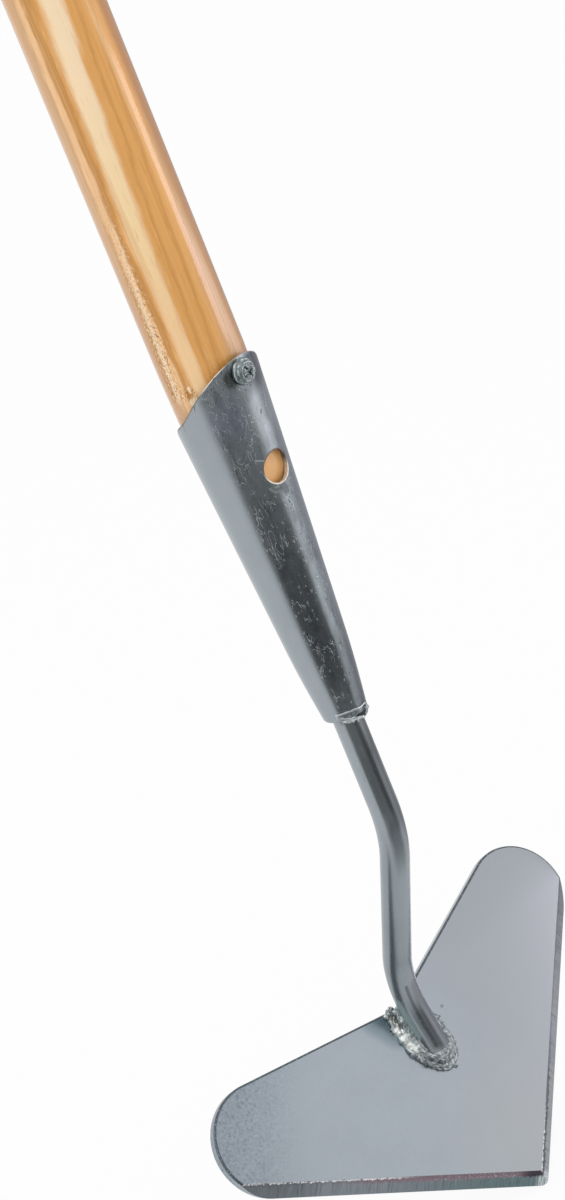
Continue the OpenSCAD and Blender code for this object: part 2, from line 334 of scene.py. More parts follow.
class Wiring:
    """A node tree that is being wired. Points are in metres, reaches and widths in millimetres."""

    def __init__(self, tree, owner=None):
        self.tree = tree
        self.owner = owner

    @classmethod
    def material(cls, name):
        """The empty node tree of a new material."""
        material = bpy.data.materials.new(name)
        material.use_nodes = True
        material.node_tree.nodes.clear()
        return cls(material.node_tree, material)

    def node(self, kind, settings=None, inputs=None, out=0):
        """A node of a type, with its settings, then its sockets' values or links."""
        node = self.tree.nodes.new(kind)
        for key, value in (settings or {}).items():
            if key == "stops":
                self.set_stops(node.color_ramp, value)
            else:
                setattr(node, key, value)
        for key, value in (inputs or {}).items():
            if isinstance(value, Link):
                self.tree.links.new(value.socket, node.inputs[key])
            else:
                node.inputs[key].default_value = value
        if isinstance(out, tuple):
            return tuple(Link(self.tree, node.outputs[key]) for key in out)
        return Link(self.tree, node.outputs[out]) if len(node.outputs) else None

    @staticmethod
    def set_stops(ramp, stops):
        """Gives a colour ramp its stops, from left to right."""
        while len(ramp.elements) > 1:
            ramp.elements.remove(ramp.elements[-1])
        for number, (place, colour) in enumerate(stops):
            stop = ramp.elements[0] if number == 0 else ramp.elements.new(place)
            stop.position = place
            stop.color = opaque(colour)

    def place(self):
        """Object coordinates."""
        return self.node("ShaderNodeTexCoord", out="Object")

    def rays(self):
        """Whether a ray comes from the camera, off a glossy surface or through glass."""
        kinds = ("Is Camera Ray", "Is Glossy Ray", "Is Transmission Ray")
        return self.node("ShaderNodeLightPath", out=kinds)

    def split(self, vector):
        """The three parts of a vector."""
        return self.node("ShaderNodeSeparateXYZ", None, {0: vector}, ("X", "Y", "Z"))

    def join(self, *parts):
        """A vector of two or three parts."""
        return self.node("ShaderNodeCombineXYZ", None, dict(enumerate(parts)))

    def vector(self, operation, first, second=(0, 0, 0), out=0):
        """A Vector Math node on one or two vectors."""
        return self.node("ShaderNodeVectorMath", {"operation": operation}, {0: first, 1: second}, out)

    def scaled(self, vector, factors):
        """A vector with each part multiplied."""
        return self.vector("MULTIPLY", vector, factors)

    def dot(self, vector, other):
        """Dot product of two vectors."""
        return self.vector("DOT_PRODUCT", vector, other, "Value")

    def gap(self, vector, other):
        """Distance between two points."""
        return self.vector("DISTANCE", vector, other, "Value")

    def flat(self, vector):
        """The level part of a vector."""
        return self.scaled(vector, (1, 1, 0))

    def reach(self, vector):
        """Level distance from the handle axis."""
        return self.vector("LENGTH", self.flat(vector), out="Value")

    def noise(self, vector, scale, detail=2.0, rough=0.5, warp=0.0):
        """Smooth noise from 0 to 1."""
        sockets = {"Vector": vector, "Scale": scale, "Detail": detail, "Roughness": rough,
                   "Distortion": warp}
        return self.node("ShaderNodeTexNoise", None, sockets)

    def grain(self, place, across, along, detail=3.0, rough=0.6, warp=0.0):
        """Noise that is drawn out along the handle, with a scale across it and one along it."""
        return self.noise(self.scaled(place, (across, across, along)), 1.0, detail, rough, warp)

    def cells(self, vector, scale):
        """Distance to the nearest of scattered points, and a random number for that point."""
        sockets = {"Vector": vector, "Scale": scale}
        gap, colour = self.node("ShaderNodeTexVoronoi", None, sockets, ("Distance", "Color"))
        return gap, self.node("ShaderNodeSeparateColor", None, {0: colour})

    def ease(self, value, low, high):
        """Smooth step from 0 at low to 1 at high; low may be the larger."""
        sockets = {"Value": value, "From Min": low, "From Max": high}
        return self.node("ShaderNodeMapRange", {"interpolation_type": "SMOOTHSTEP"}, sockets)

    def fade(self, value, low, high):
        """Smooth step of a length between two lengths in millimetres."""
        return self.ease(value, low * MM, high * MM)

    def near(self, vector, centre, reach, core):
        """Mask of a round spot: 1 within its core, 0 beyond its reach."""
        return self.fade(self.gap(vector, centre), reach, core)

    def stroke(self, vector, start, end, width):
        """Mask of a straight stroke between two points, faded over its width."""
        way = Vector(end) - Vector(start)
        run = way.length
        offset = self.vector("SUBTRACT", vector, start)
        along = self.dot(offset, way / run)
        along = along.math("MINIMUM", along.most(0.0), run)
        foot = self.node("ShaderNodeVectorMath", {"operation": "SCALE"}, {0: way / run, "Scale": along})
        return self.fade(self.gap(offset, foot), width, width * 0.35)

    def strokes(self, vector, rows):
        """Mask of several strokes, each given by two points and a width."""
        mask = 0.0
        for start, end, width in rows:
            mask = self.stroke(vector, start, end, width).most(mask)
        return mask

    def ramp(self, value, stops):
        """Colour ramp over a value."""
        return self.node("ShaderNodeValToRGB", {"stops": stops}, {0: value})

    def mix(self, factor, first, second):
        """Two colours mixed."""
        sides = [side if isinstance(side, Link) else opaque(side) for side in (first, second)]
        return self.node("ShaderNodeMix", {"data_type": "RGBA"}, {0: factor, 6: sides[0], 7: sides[1]}, 2)

    def paint(self, coat, layers):
        """A colour under layers of paint, each a mask and a colour."""
        for mask, colour in layers:
            coat = self.mix(mask, coat, colour)
        return coat

    def surface(self, colour, rough, relief, depth, strength, metallic=1.0, more=None):
        """Ends the material in a Principled shader, with a relief of a depth in millimetres."""
        bump = {"Height": relief, "Distance": depth * MM, "Strength": strength}
        sockets = {"Base Color": colour, "Metallic": metallic, "Roughness": rough,
                   "Normal": self.node("ShaderNodeBump", None, bump), **(more or {})}
        shader = self.node("ShaderNodeBsdfPrincipled", None, sockets)
        self.node("ShaderNodeOutputMaterial", None, {"Surface": shader})
        return self.owner


def round_point(radius, degrees, height):
    """A point about the handle axis: radius and height in millimetres, angle from +X."""
    turn = math.radians(degrees)
    return Vector((radius * math.cos(turn), radius * math.sin(turn), height)) * MM


def opaque(colour):
    """A colour socket's value for a colour of three parts."""
    return (*colour, 1.0)


def shaded(colour, factor):
    """A colour made darker or lighter by a factor."""
    return tuple(min(1.0, part * factor) for part in colour)


def leave_edit():
    """Object mode with nothing selected."""
    if bpy.context.object is not None and bpy.context.object.mode != "OBJECT":
        bpy.ops.object.mode_set(mode="OBJECT")
    bpy.ops.object.select_all(action="DESELECT")


def make_active(piece):
    """Only this piece is selected and active, in object mode."""
    leave_edit()
    bpy.context.view_layer.objects.active = piece
    piece.select_set(True)


def start_piece(name):
    """Names the primitive that was just added and puts its place into its mesh."""
    piece = bpy.context.object
    piece.name = name
    piece.data.name = name
    bpy.ops.object.transform_apply(location=True, rotation=True, scale=True)
    return piece


def open_edit(piece, kind="FACE"):
    """Edit mode with everything selected."""
    make_active(piece)
    bpy.ops.object.mode_set(mode="EDIT")
    bpy.ops.mesh.select_mode(type=kind)
    bpy.ops.mesh.select_all(action="SELECT")


def choose(piece, kind, test):
    """Selects the vertices, edges or faces that pass a test, in edit mode."""
    bpy.ops.mesh.select_mode(type={"verts": "VERT", "edges": "EDGE", "faces": "FACE"}[kind])
    bpy.ops.mesh.select_all(action="DESELECT")
    mesh = bmesh.from_edit_mesh(piece.data)
    chosen = [item for item in getattr(mesh, kind) if test(item)]
    for item in chosen:
        item.select_set(True)
    bmesh.update_edit_mesh(piece.data)
    if not chosen:
        raise RuntimeError("nothing was selected on " + piece.name)


def close_edit(piece):
    """Merges doubles, turns the faces outwards and leaves edit mode."""
    bpy.ops.mesh.select_all(action="SELECT")
    bpy.ops.mesh.remove_doubles(threshold=0.002 * MM)
    bpy.ops.mesh.normals_make_consistent(inside=False)
    leave_edit()
    if not piece.data.polygons:
        raise RuntimeError(piece.name + " has no faces")


def apply_modifier(piece, kind, settings):
    """Adds a modifier and applies it."""
    make_active(piece)
    modifier = piece.modifiers.new(kind.lower(), kind)
    for key, value in settings.items():
        setattr(modifier, key, value)
    bpy.ops.object.modifier_apply(modifier=modifier.name)
    if not piece.data.polygons:
        raise RuntimeError(piece.name + " lost its faces")


def cut(piece, cutter, operation="DIFFERENCE"):
    """Cuts a piece with another and deletes the cutter."""
    apply_modifier(piece, "BOOLEAN", {"operation": operation, "solver": "EXACT", "object": cutter})
    bpy.data.objects.remove(cutter, do_unlink=True)


def drill(piece, seat, radius, top, bottom, sides):
    """Cuts a round hole along a seat's Z axis, from one height down to another."""
    leave_edit()
    bpy.ops.mesh.primitive_cylinder_add(
        vertices=sides, radius=radius, depth=top - bottom, location=(0, 0, (top + bottom) / 2)
    )
    cutter = start_piece("drill")
    seat_piece(cutter, seat)
    cut(piece, cutter)


def box_cutter(size, place=(0, 0, 0), turn=0.0):
    """A box about a place, turned about the Z axis."""
    leave_edit()
    bpy.ops.mesh.primitive_cube_add(size=1, location=place, rotation=(0, 0, turn))
    bpy.context.object.scale = size
    return start_piece("box_cutter")


def roughen(piece, name, grain, height, middle=0.5, group="", hard=False):
    """Pushes a mesh in and out by a cloud texture of a grain size."""
    texture = bpy.data.textures.new(name, "CLOUDS")
    texture.noise_scale = grain
    texture.noise_depth = 2
    texture.noise_type = "HARD_NOISE" if hard else "SOFT_NOISE"
    settings = {"texture": texture, "texture_coords": "LOCAL", "strength": height, "mid_level": middle}
    if group:
        settings["vertex_group"] = group
    apply_modifier(piece, "DISPLACE", settings)


def smooth_faces(piece, degrees):
    """Smooth shading, with edges kept that are sharper than an angle."""
    make_active(piece)
    bpy.ops.object.shade_smooth_by_angle(angle=math.radians(degrees))


def turn_rings(rings):
    """Extrudes the selected ring about the Z axis through steps of radius and height."""
    for (radius, height), (next_radius, next_height) in zip(rings, rings[1:]):
        bpy.ops.mesh.extrude_region_move(TRANSFORM_OT_translate={"value": (0, 0, next_height - height)})
        grow = next_radius / radius
        bpy.ops.transform.resize(value=(grow, grow, 1), center_override=(0, 0, next_height))


def start_ring(name, ring, sides, fill):
    """A ring about the Z axis, selected in edit mode, from which a turned piece is extruded."""
    leave_edit()
    radius, height = ring
    place = (0, 0, height)
    bpy.ops.mesh.primitive_circle_add(vertices=sides, radius=radius, fill_type=fill, location=place)
    piece = start_piece(name)
    open_edit(piece, "EDGE" if fill == "NOTHING" else "FACE")
    return piece


def finish_piece(piece, node, slot, *finishes):
    """Gives a piece its finishes and sets it on the frame in place of its solid."""
    for finish in finishes:
        piece.data.materials.append(finish)
    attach(piece, "root")
    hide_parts(node)


def taper_slope(socket):
    """How much the socket's upper taper widens with height."""
    return (socket.mouth_radius - socket.waist_radius) / (socket.length - socket.waist_height)


def taper_radius(socket, height):
    """Outside radius of the socket's upper taper at a height."""
    return socket.mouth_radius + taper_slope(socket) * height


def taper_turn(socket):
    """Angle between the socket's upper taper and the handle axis."""
    return math.atan(taper_slope(socket))


def wall_seat(socket, drop, turn=0.0):
    """Matrix of a seat on the socket's wall on the blade's side, with +Z out of the wall."""
    place = Matrix.Rotation(turn, 4, "Z") @ Matrix.Translation((taper_radius(socket, -drop), 0, -drop))
    return place @ Matrix.Rotation(math.pi / 2 + taper_turn(socket), 4, "Y")


def hole_seat(socket):
    """Matrix of the nail hole's seat on the socket's wall."""
    return wall_seat(socket, socket.hole_drop, socket.hole_turn)


def seat_piece(piece, matrix):
    """Puts a piece that was modelled at the origin in its place, in its mesh."""
    make_active(piece)
    piece.matrix_world = matrix
    bpy.ops.object.transform_apply(location=True, rotation=True, scale=True)


def heading(turn):
    """Direction of the bar after it has turned back by an angle."""
    return Vector((-math.sin(turn), 0, -math.cos(turn)))


def neck_corners():
    """The two corners and the end of the neck's centre line."""
    neck, socket = bpy.context.scene.hoe_neck, bpy.context.scene.hoe_socket
    first = Vector((0, 0, -socket.length - neck.run))
    second = first + heading(neck.back_turn) * neck.fall
    return first, second, second + heading(neck.back_turn - neck.fore_turn) * neck.foot


def face_axes():
    """The blade's face: the point under the end of the bar, its normal and the way to the notch."""
    neck, blade = bpy.context.scene.hoe_neck, bpy.context.scene.hoe_blade
    normal = Vector((math.cos(blade.tilt), 0, math.sin(blade.tilt)))
    upward = Vector((-math.sin(blade.tilt), 0, math.cos(blade.tilt)))
    return neck_corners()[2] - normal * neck.foot_height, normal, upward


def face_point(along, across, height):
    """A point over the blade's face, in millimetres from the end of the bar."""
    foot, normal, upward = face_axes()
    return foot + upward * along * MM + Vector((0, across * MM, 0)) + normal * height * MM


def face_matrix(along, height):
    """Matrix of a point on the blade's face, with X across it, Y to the notch and Z out of it."""
    foot, normal, upward = face_axes()
    place = Matrix((Vector((0, 1, 0)), upward, normal)).transposed().to_4x4()
    place.translation = foot + upward * along + normal * height
    return place


def wood_finish(handle):
    """Lacquered straight-grained wood, pale and golden in bands along the shaft; painted shade, highlight
    and light.
    """
    w = Wiring.material("lacquered_wood")
    place = w.place()
    z = w.split(place)[2]
    across = w.dot(place, GRAIN_ACROSS) / handle.radius
    rise = ((z - 0.058) * 5.0).sine() * 0.2
    slope = w.ease(across, -0.62, -0.22) * 2.3 + 0.5
    lean = w.fade(z, 50, 8) * w.ease(across, 0.10, -0.30)
    wander = (w.grain(place, 60, 5, 3.0, 0.5) - 0.5) * w.ease(across, -0.60, -0.25)
    jag = w.grain(place, 420, 70) - 0.5
    layer = across - lean * 0.11 - rise * slope + wander * 0.20 + jag * 0.22
    stops = [(0.5 + 0.4 * spot, getattr(handle, band)) for spot, band in WOOD_BANDS]
    bands = w.ramp(layer * 0.4 + 0.5, stops)
    streaks = w.grain(place, 520, 6)
    fibres = w.grain(place, 2600, 26, 2.0)
    dashes = w.grain(place, 1500, 130, 2.0, 0.5)
    high = w.fade(z, 45, 105) * w.ease(layer, -0.45, -0.30) * w.ease(layer, 0.04, -0.06)
    dull = w.fade(z, 55, 15) * w.ease(layer, -0.50, -0.38) * w.ease(layer, 0.05, -0.05)
    # Painted highlight: a pale pink streak low down the handle's right side
    shine = w.ease(abs(across + rise * 1.2 - 0.76), 0.11, 0.03) * w.fade(z, 60, 20)
    rub = abs(across - (z - 0.035) * 1.7 + 0.70)
    strip = w.ease(rub, 0.18, 0.08) * w.fade(z, 75, 6) * w.fade(z, -10, -5)
    strip = strip * w.fade(w.dot(place, TOWARDS), 0, 3)
    frayed = strip.most(w.near(place, round_point(13.6, -69, -7), 4.0, 1.8))
    pits = w.grain(place, 2500, 1300, 1.0, 0.5)
    lifts = w.grain(place, 2300, 900, 1.0, 0.5)
    splinters = w.strokes(place, (
        (round_point(13.7, -67, -3.9), round_point(13.7, -68, -5.4), 0.7),
        (round_point(13.7, -71, -8.8), round_point(13.7, -66, -8.2), 1.5),
    ))
    # Painted light: the wood under the nail hole is painted paler, against the shade of its hollow
    hole_light = w.near(place, hole_seat(bpy.context.scene.hoe_socket).translation, 9, 8)
    colour = w.paint(bands, (
        (w.ease(streaks, 0.52, 0.72) * 0.48, handle.gold),
        (w.ease(streaks, 0.46, 0.26) * 0.45, handle.cream),
        (w.ease(fibres, 0.56, 0.80) * 0.28, handle.gold),
        (w.ease(dashes, 0.62, 0.72) * 0.35, handle.gold),
        (w.ease(dashes, 0.36, 0.26) * 0.30, handle.cream),
        (high * 0.75, handle.splinter),
        (dull * 0.5, handle.pale),
        (w.fade(z, 50, 10) * w.ease(across, -0.2, 0.1) * 0.2, handle.gold),
        (shine * 0.45, srgb(248, 208, 182)),
        # Painted shade: brown along the handle's right edge and, low down, its left edge
        (w.ease(across + rise * 1.5, 0.80, 0.93) * 0.75, handle.brown),
        (w.fade(z, 70, 10) * w.ease(across, -0.74, -0.94) * 0.45, handle.brown),
        (w.ease(rub, 0.06, 0.02) * strip * 0.75, handle.splinter),
        (w.ease(lifts, 0.56, 0.64) * frayed * 0.9, handle.splinter),
        (w.ease(pits, 0.57, 0.64) * frayed * 0.85, handle.pore),
        (splinters * 0.9, handle.splinter),
        (hole_light * 0.7, srgb(234, 178, 112)),
    ))
    rough = 0.40 + fibres * 0.12 + frayed * 0.25
    relief = fibres * 0.35 + streaks * 0.4 + (lifts - pits) * frayed * 3.0
    lacquer = {"Coat Weight": (1.0 - frayed * 0.8) * handle.lacquer, "Coat Roughness": 0.10}
    return w.surface(colour, rough, relief, 0.12, 0.8, 0.0, lacquer)


def zinc_parts(w, place, colour, across, along, unrest):
    """Colour, roughness and relief of satin zinc plate, drawn out by a scale across and one along."""
    drawn = w.grain(place, across, along)
    cloud = w.noise(place, 70.0, 3.0, 0.55)
    coat = w.paint(colour, (
        (w.ease(cloud, 0.42, 0.70) * (0.5 * unrest), shaded(colour, 0.80)),
        (w.ease(drawn, 0.50, 0.75) * (0.4 * unrest), shaded(colour, 1.14)),
    ))
    return coat, 0.22 + drawn * (0.10 * unrest) + cloud * (0.06 * unrest), drawn * 0.5


def steel_specks(w, place, scale, least):
    """Mask of scattered flecks of a size; more of them for a lower least chance."""
    gap, chance = w.cells(place, scale)
    return w.ease(gap, 0.34, 0.18) * w.ease(chance, least, least + 0.03)


def hair_scratches(w, place, across, along, width, patch=0.52):
    """Mask of fine curved scratches, in patches."""
    wave = w.grain(place, across, along, 2.0, 0.5, 0.8)
    patches = w.noise(place, 150.0, 1.0)
    return w.ease(abs(wave - 0.5), width, width * 0.2) * w.ease(patches, patch, patch + 0.08)


def socket_finish(socket):
    """Satin zinc plate on the rolled socket, handled and scratched on its front, with painted highlights,
    shade and dark reflection.
    """
    w = Wiring.material("socket_zinc")
    place = w.place()
    z = w.split(place)[2]
    coat, rough, relief = zinc_parts(w, place, socket.zinc, 900, 26, 0.45)
    across = w.dot(place, GRAIN_ACROSS) / (z * taper_slope(socket) + socket.mouth_radius)
    front = w.ease(across, -0.42, -0.18) * w.ease(across, 0.98, 0.80)
    front = front * w.fade(w.dot(place, TOWARDS), -3, 1)
    mottle = w.grain(place, 260, 110, 3.0, 0.65)
    flecks = steel_specks(w, w.scaled(place, (1.0, 1.0, 0.6)), 900.0, 0.80) * front
    pits = steel_specks(w, place, 1200.0, 0.88) * front
    hairs = hair_scratches(w, place, 420, 150, 0.016, 0.48) * front
    lines = hair_scratches(w, place, 300, 60, 0.012, 0.46) * front
    # Painted shade: a dark green-grey patch beside the screw
    screw_shade = w.near(place, Vector((15.7, -4.4, -5.6)) * MM, 3.6, 1.8)
    # Painted dark reflection: the top of the tongue right of the screw in darker grey
    tongue = w.fade(z, -15, -9) * w.ease(across, 0.45, 0.75) * w.fade(z, -1.2, -2.4)
    blue = w.near(place, Vector((12.6, -8.8, -17.0)) * MM, 9, 3)
    # Painted highlights below and right of the screw, and painted shade low on the right side
    sheen = w.near(place, round_point(15.2, 14, -20), 11, 4)
    gleam = w.stroke(place, round_point(14.9, 11, -25), round_point(14.4, 10, -31), 3)
    shade = w.fade(z, -82, -112) * w.ease(across, 0.30, 0.65)
    coat = w.paint(coat, (
        (w.ease(mottle, 0.48, 0.66) * front * 0.45, srgb(104, 110, 114)),
        (w.ease(mottle, 0.44, 0.30) * front * 0.30, srgb(186, 190, 200)),
        (screw_shade * 0.80, srgb(70, 76, 71)),
        (tongue * 0.75, srgb(104, 104, 112)),
        (blue * 0.30, srgb(150, 160, 190)),
        (flecks * 0.34, srgb(206, 211, 214)),
        (hairs * 0.50, srgb(212, 217, 219)),
        (lines * 0.50, srgb(60, 64, 66)),
        (pits * 0.7, srgb(40, 44, 46)),
        (sheen * 0.30, srgb(196, 200, 206)),
        (gleam * 0.42, srgb(200, 204, 212)),
        (shade * 0.45, srgb(84, 88, 92)),
    ))
    dull = 0.0
    for start, end, width, mark in SOCKET_MARKS:
        line = w.stroke(place, round_point(*start), round_point(*end), width)
        coat = w.mix(line * 0.8, coat, mark)
        dull = line.most(dull)
    relief = relief * (front * 0.9 + 0.1) + flecks * 0.5 - pits * 0.9 - hairs * 0.5 + mottle * front * 0.8
    return w.surface(coat, rough + flecks * 0.12 + hairs * 0.20, relief, 0.07, 0.7, 1.0 - dull * 0.8)


def lip_highlight_finish(socket):
    """Pale steel on the lips of the mouth and holes as a painted highlight, with painted shade on the
    mouth's low and top parts.
    """
    w = Wiring.material("bright_lip")
    place = w.place()
    z = w.split(place)[2]
    wear = w.noise(place, 900.0, 2.0)
    low = w.fade(z, -4.8, -7.0) * w.fade(z, -27, -24)
    top = w.fade(w.dot(place, GRAIN_ACROSS), 4.0, 6.5) * w.fade(z, -15, -12)
    hole = hole_seat(socket).translation
    radius, height = socket.hole_radius / MM, hole.z / MM
    rim = w.near(place, hole, radius + 2.5, radius + 1.5)
    bottom = w.fade(z, height + 1.0, height - 3.0)
    coat = w.paint(srgb(244, 237, 226), (
        (w.ease(wear, 0.46, 0.66) * 0.4, srgb(190, 188, 184)),
        # Painted shade: low on the mouth in the gap's shadow, near the top of the tongue, and round the nail
        # hole but at its bottom
        (low * 0.9, srgb(92, 80, 70)),
        (top * 0.7, srgb(112, 108, 104)),
        (rim * (1.0 - bottom) * 0.9, srgb(88, 78, 82)),
    ))
    return w.surface(coat, 0.34 + wear * 0.14, wear, 0.1, 0.6, 0.45)


def neck_finish(neck):
    """Satin zinc plate on the drawn bar, scuffed along its foot, with painted dark reflection round its
    first bend and a painted highlight.
    """
    w = Wiring.material("neck_zinc")
    place = w.place()
    z = w.split(place)[2]
    coat, rough, relief = zinc_parts(w, place, neck.zinc, 1100, 40, 0.5)
    upper = w.fade(z, -188, -164) * 0.7 + 0.3
    flecks = steel_specks(w, w.scaled(place, (1.0, 1.0, 0.3)), 1000.0, 0.93) * upper
    hairs = hair_scratches(w, place, 300, 40, 0.010) * upper
    second, end = neck_corners()[1:]
    last = (end - second).normalized()
    front = Vector((-last.z, 0, last.x))
    straight = neck.foot - neck.fore_radius * math.tan(neck.fore_turn / 2)

    def foot_point(back, degrees):
        """A point on the bar's skin, in millimetres back from its end and degrees from its front."""
        bent = max(0.0, back * MM - straight) / neck.fore_radius
        middle = end - last * min(back * MM, straight) + front * neck.fore_radius
        here = front * math.cos(bent) + last * math.sin(bent)
        turn = math.radians(degrees)
        outward = here * math.cos(turn) + Vector((0, math.sin(turn), 0))
        return middle - here * neck.fore_radius + outward * neck.radius

    # Painted highlight: a pale teal stroke along one side of the foot, also made less metallic
    pale = w.stroke(place, foot_point(24, -96), foot_point(11, -88), 3.2)
    mauve = w.stroke(place, foot_point(30, 16), foot_point(3, 2), 3.4)
    rows = [(foot_point(15, -31), foot_point(5, -31), 1.0)]
    rows += [(foot_point(back + 4, -30), foot_point(back, -30), 0.9) for back in (15, 19, 23, 27)]
    scuff = w.strokes(place, rows)
    glitter = steel_specks(w, place, 1500.0, 0.70)
    across = w.dot(place, GRAIN_ACROSS) / neck.radius
    # Painted dark reflection on the bar's right side just under the socket, also slightly less metallic
    upper_dark_reflection = w.fade(z, -152, -134)
    # Painted dark reflection on the bar's right side, down to its first bend
    dim = w.fade(z, -178, -162) * w.fade(z, -130, -142)
    dim = dim * w.ease(across, 0.14, 0.40) * w.ease(across, 1.00, 0.78)
    # Painted dark reflection: the dark streak round the first bend
    bend = [Vector(point) * MM for point in DARK_TAIL]
    tail = w.strokes(place, zip(bend, bend[1:], DARK_TAIL_WIDTHS))
    tail = tail * w.fade(z, -193, -174) * w.fade(z, -160, -169)
    coat = w.paint(coat, (
        (flecks * 0.3, srgb(215, 221, 225)),
        (hairs * 0.4, srgb(70, 76, 82)),
        (pale * 0.8, srgb(158, 180, 180)),
        (mauve * 0.5, srgb(112, 108, 116)),
        (scuff * 0.60, srgb(66, 70, 70)),
        (scuff * glitter * 0.8, srgb(205, 212, 214)),
        (w.fade(z, -160, -185) * 0.24, srgb(84, 96, 102)),
        (upper_dark_reflection * w.ease(across, 0.05, 0.45) * 0.55, srgb(86, 84, 82)),
        (dim * 0.70, srgb(92, 95, 98)),
        (tail * 0.85, srgb(88, 94, 97)),
    ))
    relief = (relief + flecks * 0.4 - hairs * 0.4) * upper
    return w.surface(coat, rough + flecks * 0.2, relief, 0.06, 0.7, 0.90 - pale * 0.5 - upper_dark_reflection * 0.06)


def blade_finish(blade):
    """Satin zinc plate on the blade, smooth in the middle and grainy towards one lobe, with painted shade
    and a painted shadow.
    """
    w = Wiring.material("blade_zinc")
    place = w.place()
    coat, rough, _ = zinc_parts(w, place, blade.zinc, 60, 60, 0.25)
    grain = w.noise(place, 1000.0, 3.0, 0.6)
    across = w.dot(place, CAMERA_RIGHT)
    worn = w.fade(across, 33, 5)
    # Painted shadow: a dark teal stroke on the face beside the weld
    weld_shadow = w.stroke(place, face_point(23.5, -11.5, 0), face_point(15.0, -8.2, 0), 6.5)
    coat = w.paint(coat, (
        (w.ease(grain, 0.50, 0.68) * (worn * 0.65 + 0.03), srgb(108, 120, 132)),
        (w.ease(grain, 0.48, 0.30) * (worn * 0.45 + 0.03), srgb(200, 210, 216)),
        # Painted shade: a bluish grey over one lobe
        (w.fade(across, 40, 4) * 0.42, srgb(114, 126, 138)),
        # Painted shade: a darker, warmer grey towards the +Y lobe
        (w.fade(w.split(place)[1], -10, 50) * 0.75, srgb(160, 163, 169)),
        (w.near(place, face_point(-45.0, 6.0, 0), 46, 8) * 0.45, srgb(172, 173, 173)),
        (w.near(place, face_point(10.9, 13.9, 0), 0.8, 0.4) * 0.5, srgb(88, 92, 96)),
        (weld_shadow * 0.45, srgb(104, 128, 138)),
    ))
    return w.surface(coat, rough + worn * 0.10, grain * (worn * 1.2 + 0.06), 0.05, 0.6)


def edge_coordinates(w, place, blade):
    """Distance inside the cutting edge and distance along it, on either half of the blade."""
    foot, _, upward = face_axes()
    offset = w.vector("SUBTRACT", place, foot - upward * blade.tip_drop)
    rise = w.dot(offset, upward)
    side = abs(w.split(offset)[1])
    half = blade.tip_angle / 2
    return rise * math.sin(half) - side * math.cos(half), rise * math.cos(half) + side * math.sin(half)


def ground_finish(blade):
    """Bare ground steel of the cutting edges: marks across, a ragged bright line along the face, the right
    bevel painted lighter as a reflection.
    """
    w = Wiring.material("ground_steel")
    place = w.place()
    inside, along = edge_coordinates(w, place, blade)
    marks = w.noise(w.join(along * 1500.0, inside * 120.0), 1.0, 3.0, 0.7)
    teeth = w.noise(w.join(along * 700.0, inside * 260.0), 1.0, 2.0, 0.6)
    patches = w.noise(place, 120.0, 2.0)
    right = w.fade(w.split(place)[1], -0.4, 0.4)
    left = 1.0 - right
    ragged = inside + (teeth - 0.5) * (right * 1.2 + 2.2) * MM
    upper = w.fade(ragged, 2.6, 3.2) * left
    chips = w.ease(w.noise(place, 2200.0, 1.0), 0.60, 0.68) * w.fade(along, 60, 40)
    near_tip = w.fade(along, 66, 24)
    bite = w.fade(ragged + near_tip * (0.7 * MM), 3.3, 3.7) * right
    where = w.fade(along, 48, 66) * left + w.fade(along, 36, 14) * right
    white = w.fade(ragged, 3.9, 4.1) * w.ease(marks, 0.36, 0.50) * where
    worn = w.fade(along, 6, 3) * w.ease(marks, 0.40, 0.55) * w.fade(inside, 3.4, 2.4)
    coat = w.paint(blade.ground, (
        (w.fade(along, 80, 14), srgb(100, 117, 120)),
        (w.fade(along, 84, 96) * 0.5, srgb(88, 92, 92)),
        # Painted reflection: the right bevel is painted a lighter grey than the left one
        (right, srgb(151, 153, 161)),
        (w.ease(marks, 0.44, 0.70) * 0.55, srgb(78, 84, 88)),
        (w.ease(marks, 0.40, 0.28) * 0.35, srgb(190, 196, 198)),
        (w.ease(patches, 0.45, 0.70) * 0.25, srgb(112, 128, 130)),
        (upper * w.fade(along, 88, 62) * 0.7, srgb(134, 109, 118)),
        (upper * chips * 0.6, srgb(204, 198, 202)),
        (upper * w.fade(along, 14, 7) * 0.9, srgb(44, 47, 52)),
        (w.fade(ragged, 3.2, 3.7) * left * 0.2, srgb(84, 74, 80)),
        (bite * (near_tip * 0.6 + 0.22), srgb(54, 58, 62)),
        (white * 0.85, srgb(236, 238, 240)),
        (worn * 0.8, srgb(206, 211, 213)),
    ))
    return w.surface(coat, 0.30 + marks * 0.15, marks + teeth * 0.8, 0.1, 0.7)


def rolled_edge_finish():
    """Plate on the rounded outline of the face, painted dark as shade, with lighter worn spots."""
    w = Wiring.material("rolled_edge")
    wear = w.noise(w.place(), 1600.0, 2.0, 0.6)
    coat = w.mix(w.ease(wear, 0.55, 0.70) * 0.6, srgb(88, 97, 103), srgb(176, 184, 188))
    return w.surface(coat, 0.30 + wear * 0.2, wear, 0.1, 0.8)


